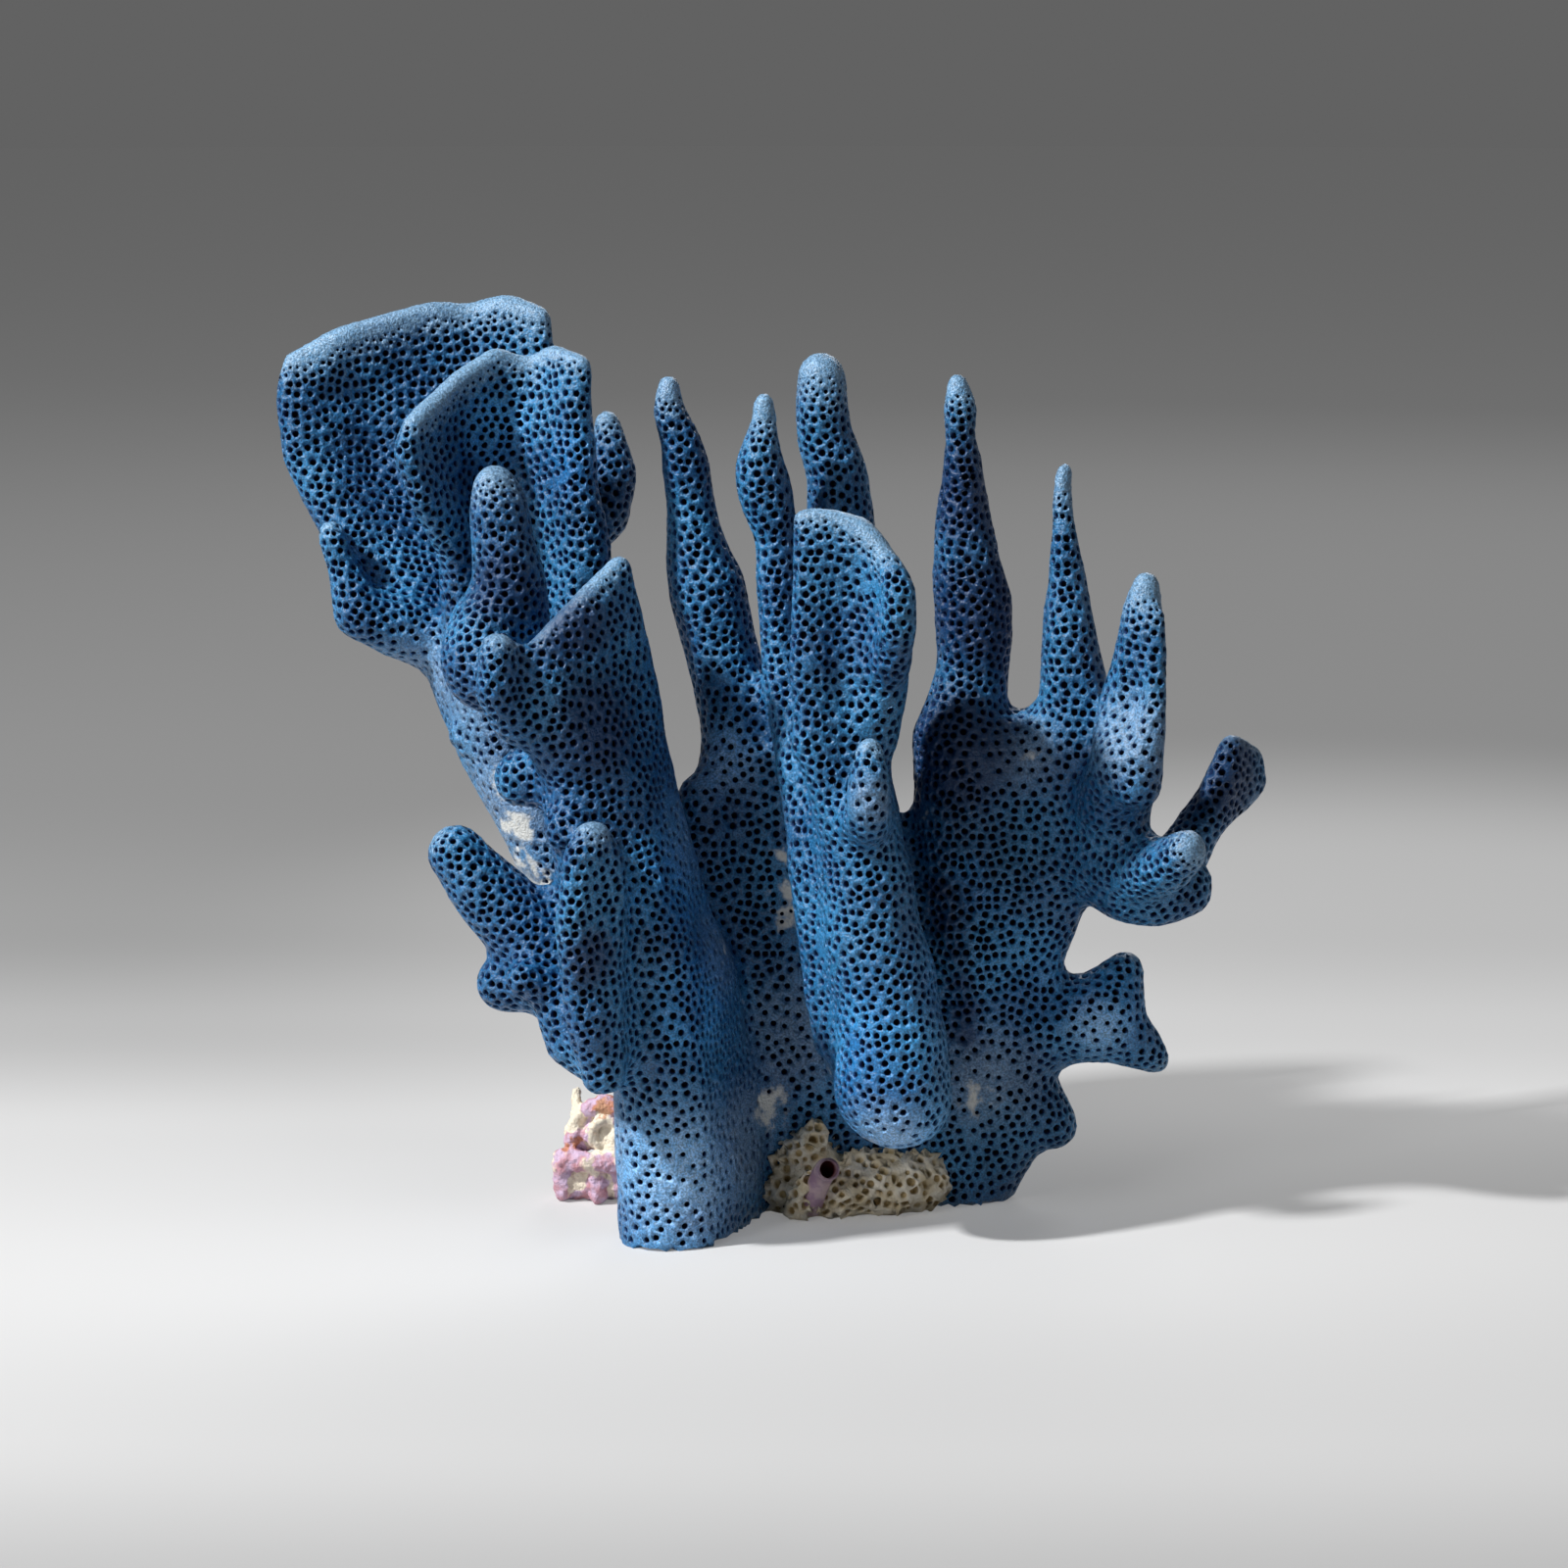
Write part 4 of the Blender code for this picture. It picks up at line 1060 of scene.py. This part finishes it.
def grow_cream_crust():
    """A honeycomb of thin, spiky walls."""
    body = crust_body("cream_crust_body", CREAM_CRUST, voxel=0.5, lump_size=3, lump_height=1.8)
    cells = Cells(body, np.full(len(body[0]), COMB_GAP))
    rng = np.random.default_rng(SEED)
    count = len(cells.middle)
    radius = cells.room() * rng.uniform(*COMB_RADIUS, count)
    radius[(rng.random(count) < COMB_GONE) | (cells.middle[:, 2] < COMB_FOOT)] = 0
    depth = radius * rng.uniform(*COMB_DEPTH, count)
    spikes = np.minimum(rng.exponential(SPIKE, len(cells.corner)), LONGEST_SPIKE) * MM
    lift = spikes * (cells.corner[:, 2] > SPIKE_FOOT)
    own = np.flatnonzero(outside_colony(cells.middle) > -SUNK).tolist()
    marks = {"shade": rng.random(count)}
    obj = pit_mesh("cream_crust_skin", cells, [c for c in own if cells.ring[c]], radius, depth, lift, marks)
    dress(obj, cream_paint(), "cream_crust")


def grow_pink_crust():
    """A lumpy crust with ridges and a hollow ring, open where it is inside the colony."""
    groups = PINK_CRUST + ring_of_balls()
    body = crust_body("pink_crust_body", groups, voxel=0.36, lump_size=1.1, lump_height=0.9)
    points, normals, triangles = body
    kept = (outside_colony(points) > -SUNK)[triangles].all(1)
    used, faces = np.unique(triangles[kept], return_inverse=True)
    points, normals = points[used], normals[used]
    values = {"cream": in_spots(points, CREAM_SPOTS), "orange": in_spots(points, ORANGE_SPOTS)}
    obj = mesh_object("pink_crust_skin", points, faces.reshape(-1, 3), normals, values)
    dress(obj, pink_paint(), "pink_crust")


def grow_worm_tube():
    """Rings up the outside, over the lip and down the bore, each with its share of the bore's colour."""
    axis = [Vector(point) for point in WORM_TUBE]
    directions = [(b - a).normalized() for a, b in zip(axis, axis[1:])]
    directions.append(directions[-1])
    ends = list(zip(axis, directions))
    rings = [(c, d, TUBE_RADIUS, 0.0) for c, d in ends[:-1]]
    tip, way = ends[-1]
    rings += [(tip - way * LIP, way, TUBE_RADIUS, 0.0), (tip, way, LIP_RADII[0], 0.0)]
    rings += [(tip, way, LIP_RADII[1], 0.0), (tip - way * LIP, way, BORE_RADIUS, 0.3)]
    rings += [(c, d, BORE_RADIUS, 1.0) for c, d in ends[-2:1:-1]]
    places = []
    normals = []
    bore = []
    for centre, direction, radius, inside in rings:
        across = (SIDEWAYS - direction * direction.dot(SIDEWAYS)).normalized()
        for i in range(TUBE_SIDES):
            out = Matrix.Rotation(math.tau * i / TUBE_SIDES, 3, direction) @ across
            places.append((centre + out * radius) * MM)
            normals.append(out if inside == 0 else -out)
            bore.append(inside)
    faces = []
    for low in range(len(rings) - 1):
        for i in range(TUBE_SIDES):
            a, b = low * TUBE_SIDES + i, low * TUBE_SIDES + (i + 1) % TUBE_SIDES
            faces += [(a, b, b + TUBE_SIDES), (a, b + TUBE_SIDES, a + TUBE_SIDES)]
    last = (len(rings) - 1) * TUBE_SIDES
    faces += [(0, i + 1, i) for i in range(1, TUBE_SIDES - 1)]
    faces += [(last, last + i, last + i + 1) for i in range(1, TUBE_SIDES - 1)]
    values = {"bore": np.array(bore)}
    obj = mesh_object("worm_tube_wall", np.array(places), faces, np.array(normals), values)
    dress(obj, tube_paint(), "worm_tube")


# ---- the room


FLOOR_RADIUS = 6
FLOOR_STRETCH = (0.22, 1, 0)  # the pool of light is drawn out sideways by 1 over this
POOL_SHIFT = (0, 0.03, 0)
POOL = 0.25  # metres from the middle at which the pool of light is half gone
# Grey levels of the floor, each after the place where it holds: 0 is far away and 1 the pool's middle.
FLOOR_WHITE = [(0, 0.15), (0.23, 0.15), (0.36, 0.16), (0.49, 0.2), (0.6, 0.3), (0.74, 0.46), (1, 0.57)]
FLOOR_GLOW = [(0, 0.1205), (0.23, 0.14), (0.49, 0.13), (0.74, 0.18), (1, 0.17)]
SIDE_GLOW = 0.2  # how much more the floor glows behind the object's right side
SIDE_GLOW_PLACE = (0.13, 0.22, 0)
SIDE_GLOW_REACH = (0.09, 0.28)
AMBIENT = 0.008  # strength of the light from all sides
BACKDROP = (0.122, 0.122, 0.122, 1)  # what the camera sees behind the floor
LAMPS = [  # name, azimuth, elevation, power in watts and size in metres
    ("key", -66, 43, 23, 0.08), ("front", -42, 22, 3, 0.3), ("right", 95, 25, 1.3, 0.3),
    ("top", 18, 64, 0.7, 0.4), ("back", 165, 30, 3, 0.5),
]
LAMP_AIM = Vector((0, 0, 70)) * MM
LAMP_DISTANCE = 1.3
CAMERA_TARGET = Vector((1.7, 2.8, 71.5)) * MM
CAMERA_DISTANCE = 0.711
CAMERA_ELEVATION = math.radians(10)


def floor_paint():
    """A painted pool of light: the floor is near white round the object and darker away from it.

    Seen by the camera it also glows a little, so that it fades into the backdrop far away.
    """
    paint = Paint("floor", 0.9)
    moved = paint.vector("ADD", paint.place, POOL_SHIFT)
    away = paint.vector("LENGTH", paint.vector("MULTIPLY", moved, FLOOR_STRETCH))
    near = paint.math("DIVIDE", POOL, paint.math("ADD", away, POOL))
    beside = paint.vector("DISTANCE", paint.place, SIDE_GLOW_PLACE)
    side = paint.step(beside, *SIDE_GLOW_REACH, SIDE_GLOW, 0.0)
    paint.set("Emission Color", paint.mix(1.0, level_by(paint, near, FLOOR_GLOW), side, "ADD"))
    paint.set("Emission Strength", paint.seen())
    paint.set("Specular IOR Level", 0.0)
    paint.set("Base Color", level_by(paint, near, FLOOR_WHITE))
    return paint.material


def level_by(paint, value, stops):
    """A grey level that follows the value from stop to stop."""
    ramp = paint.add("ShaderNodeValToRGB", value)
    ramp.color_ramp.interpolation = "EASE"
    elements = ramp.color_ramp.elements
    while len(elements) < len(stops):
        elements.new(0.5)
    for element, (place, level) in zip(elements, stops):
        element.position = place
        element.color = (level, level, level, 1)
    return ramp.outputs["Color"]


def lay_floor():
    bm = bmesh.new()
    bmesh.ops.create_circle(bm, cap_ends=True, segments=96, radius=FLOOR_RADIUS)
    floor = placed_mesh("floor", bm)
    floor.data.materials.append(floor_paint())


def light_world():
    """A weak light from all sides, behind a backdrop that only the camera and reflections see."""
    world = bpy.data.worlds.new("room")
    bpy.context.scene.world = world
    world.use_nodes = True
    graph = Graph(world.node_tree)
    ambient = graph.tree.nodes["Background"]
    graph.feed(ambient.inputs["Color"], (1, 1, 1, 1))
    graph.feed(ambient.inputs["Strength"], AMBIENT)
    backdrop = graph.add("ShaderNodeBackground", BACKDROP)
    mix = graph.add("ShaderNodeMixShader", graph.seen(), ambient.outputs[0], backdrop.outputs[0])
    graph.feed(graph.tree.nodes["World Output"].inputs["Surface"], mix.outputs[0])


def direction(azimuth, elevation):
    """The way to something seen from the object. Azimuth 0 is the front, and it turns to the right."""
    level = math.cos(elevation)
    return Vector((level * math.sin(azimuth), -level * math.cos(azimuth), math.sin(elevation)))


def lamp(name, azimuth, elevation, power, size):
    """A square lamp that looks at the object."""
    light = bpy.data.lights.new(name, "AREA")
    light.energy = power
    light.size = size
    way = direction(math.radians(azimuth), math.radians(elevation))
    obj = placed(name, light)
    obj.location = LAMP_AIM + way * LAMP_DISTANCE
    obj.rotation_euler = (-way).to_track_quat("-Z", "Y").to_euler()


def place_camera():
    camera = bpy.data.cameras.new("camera")
    camera.lens = 100
    camera.sensor_width = 36
    obj = placed("camera", camera)
    obj.location = CAMERA_TARGET + direction(0, CAMERA_ELEVATION) * CAMERA_DISTANCE
    obj.rotation_euler = (math.pi / 2 - CAMERA_ELEVATION, 0, 0)
    bpy.context.scene.camera = obj


grow_skin()
grow_cream_crust()
grow_pink_crust()
grow_worm_tube()
lay_floor()
light_world()
for facts in LAMPS:
    lamp(*facts)
place_camera()
bpy.context.scene.view_settings.view_transform = "Standard"
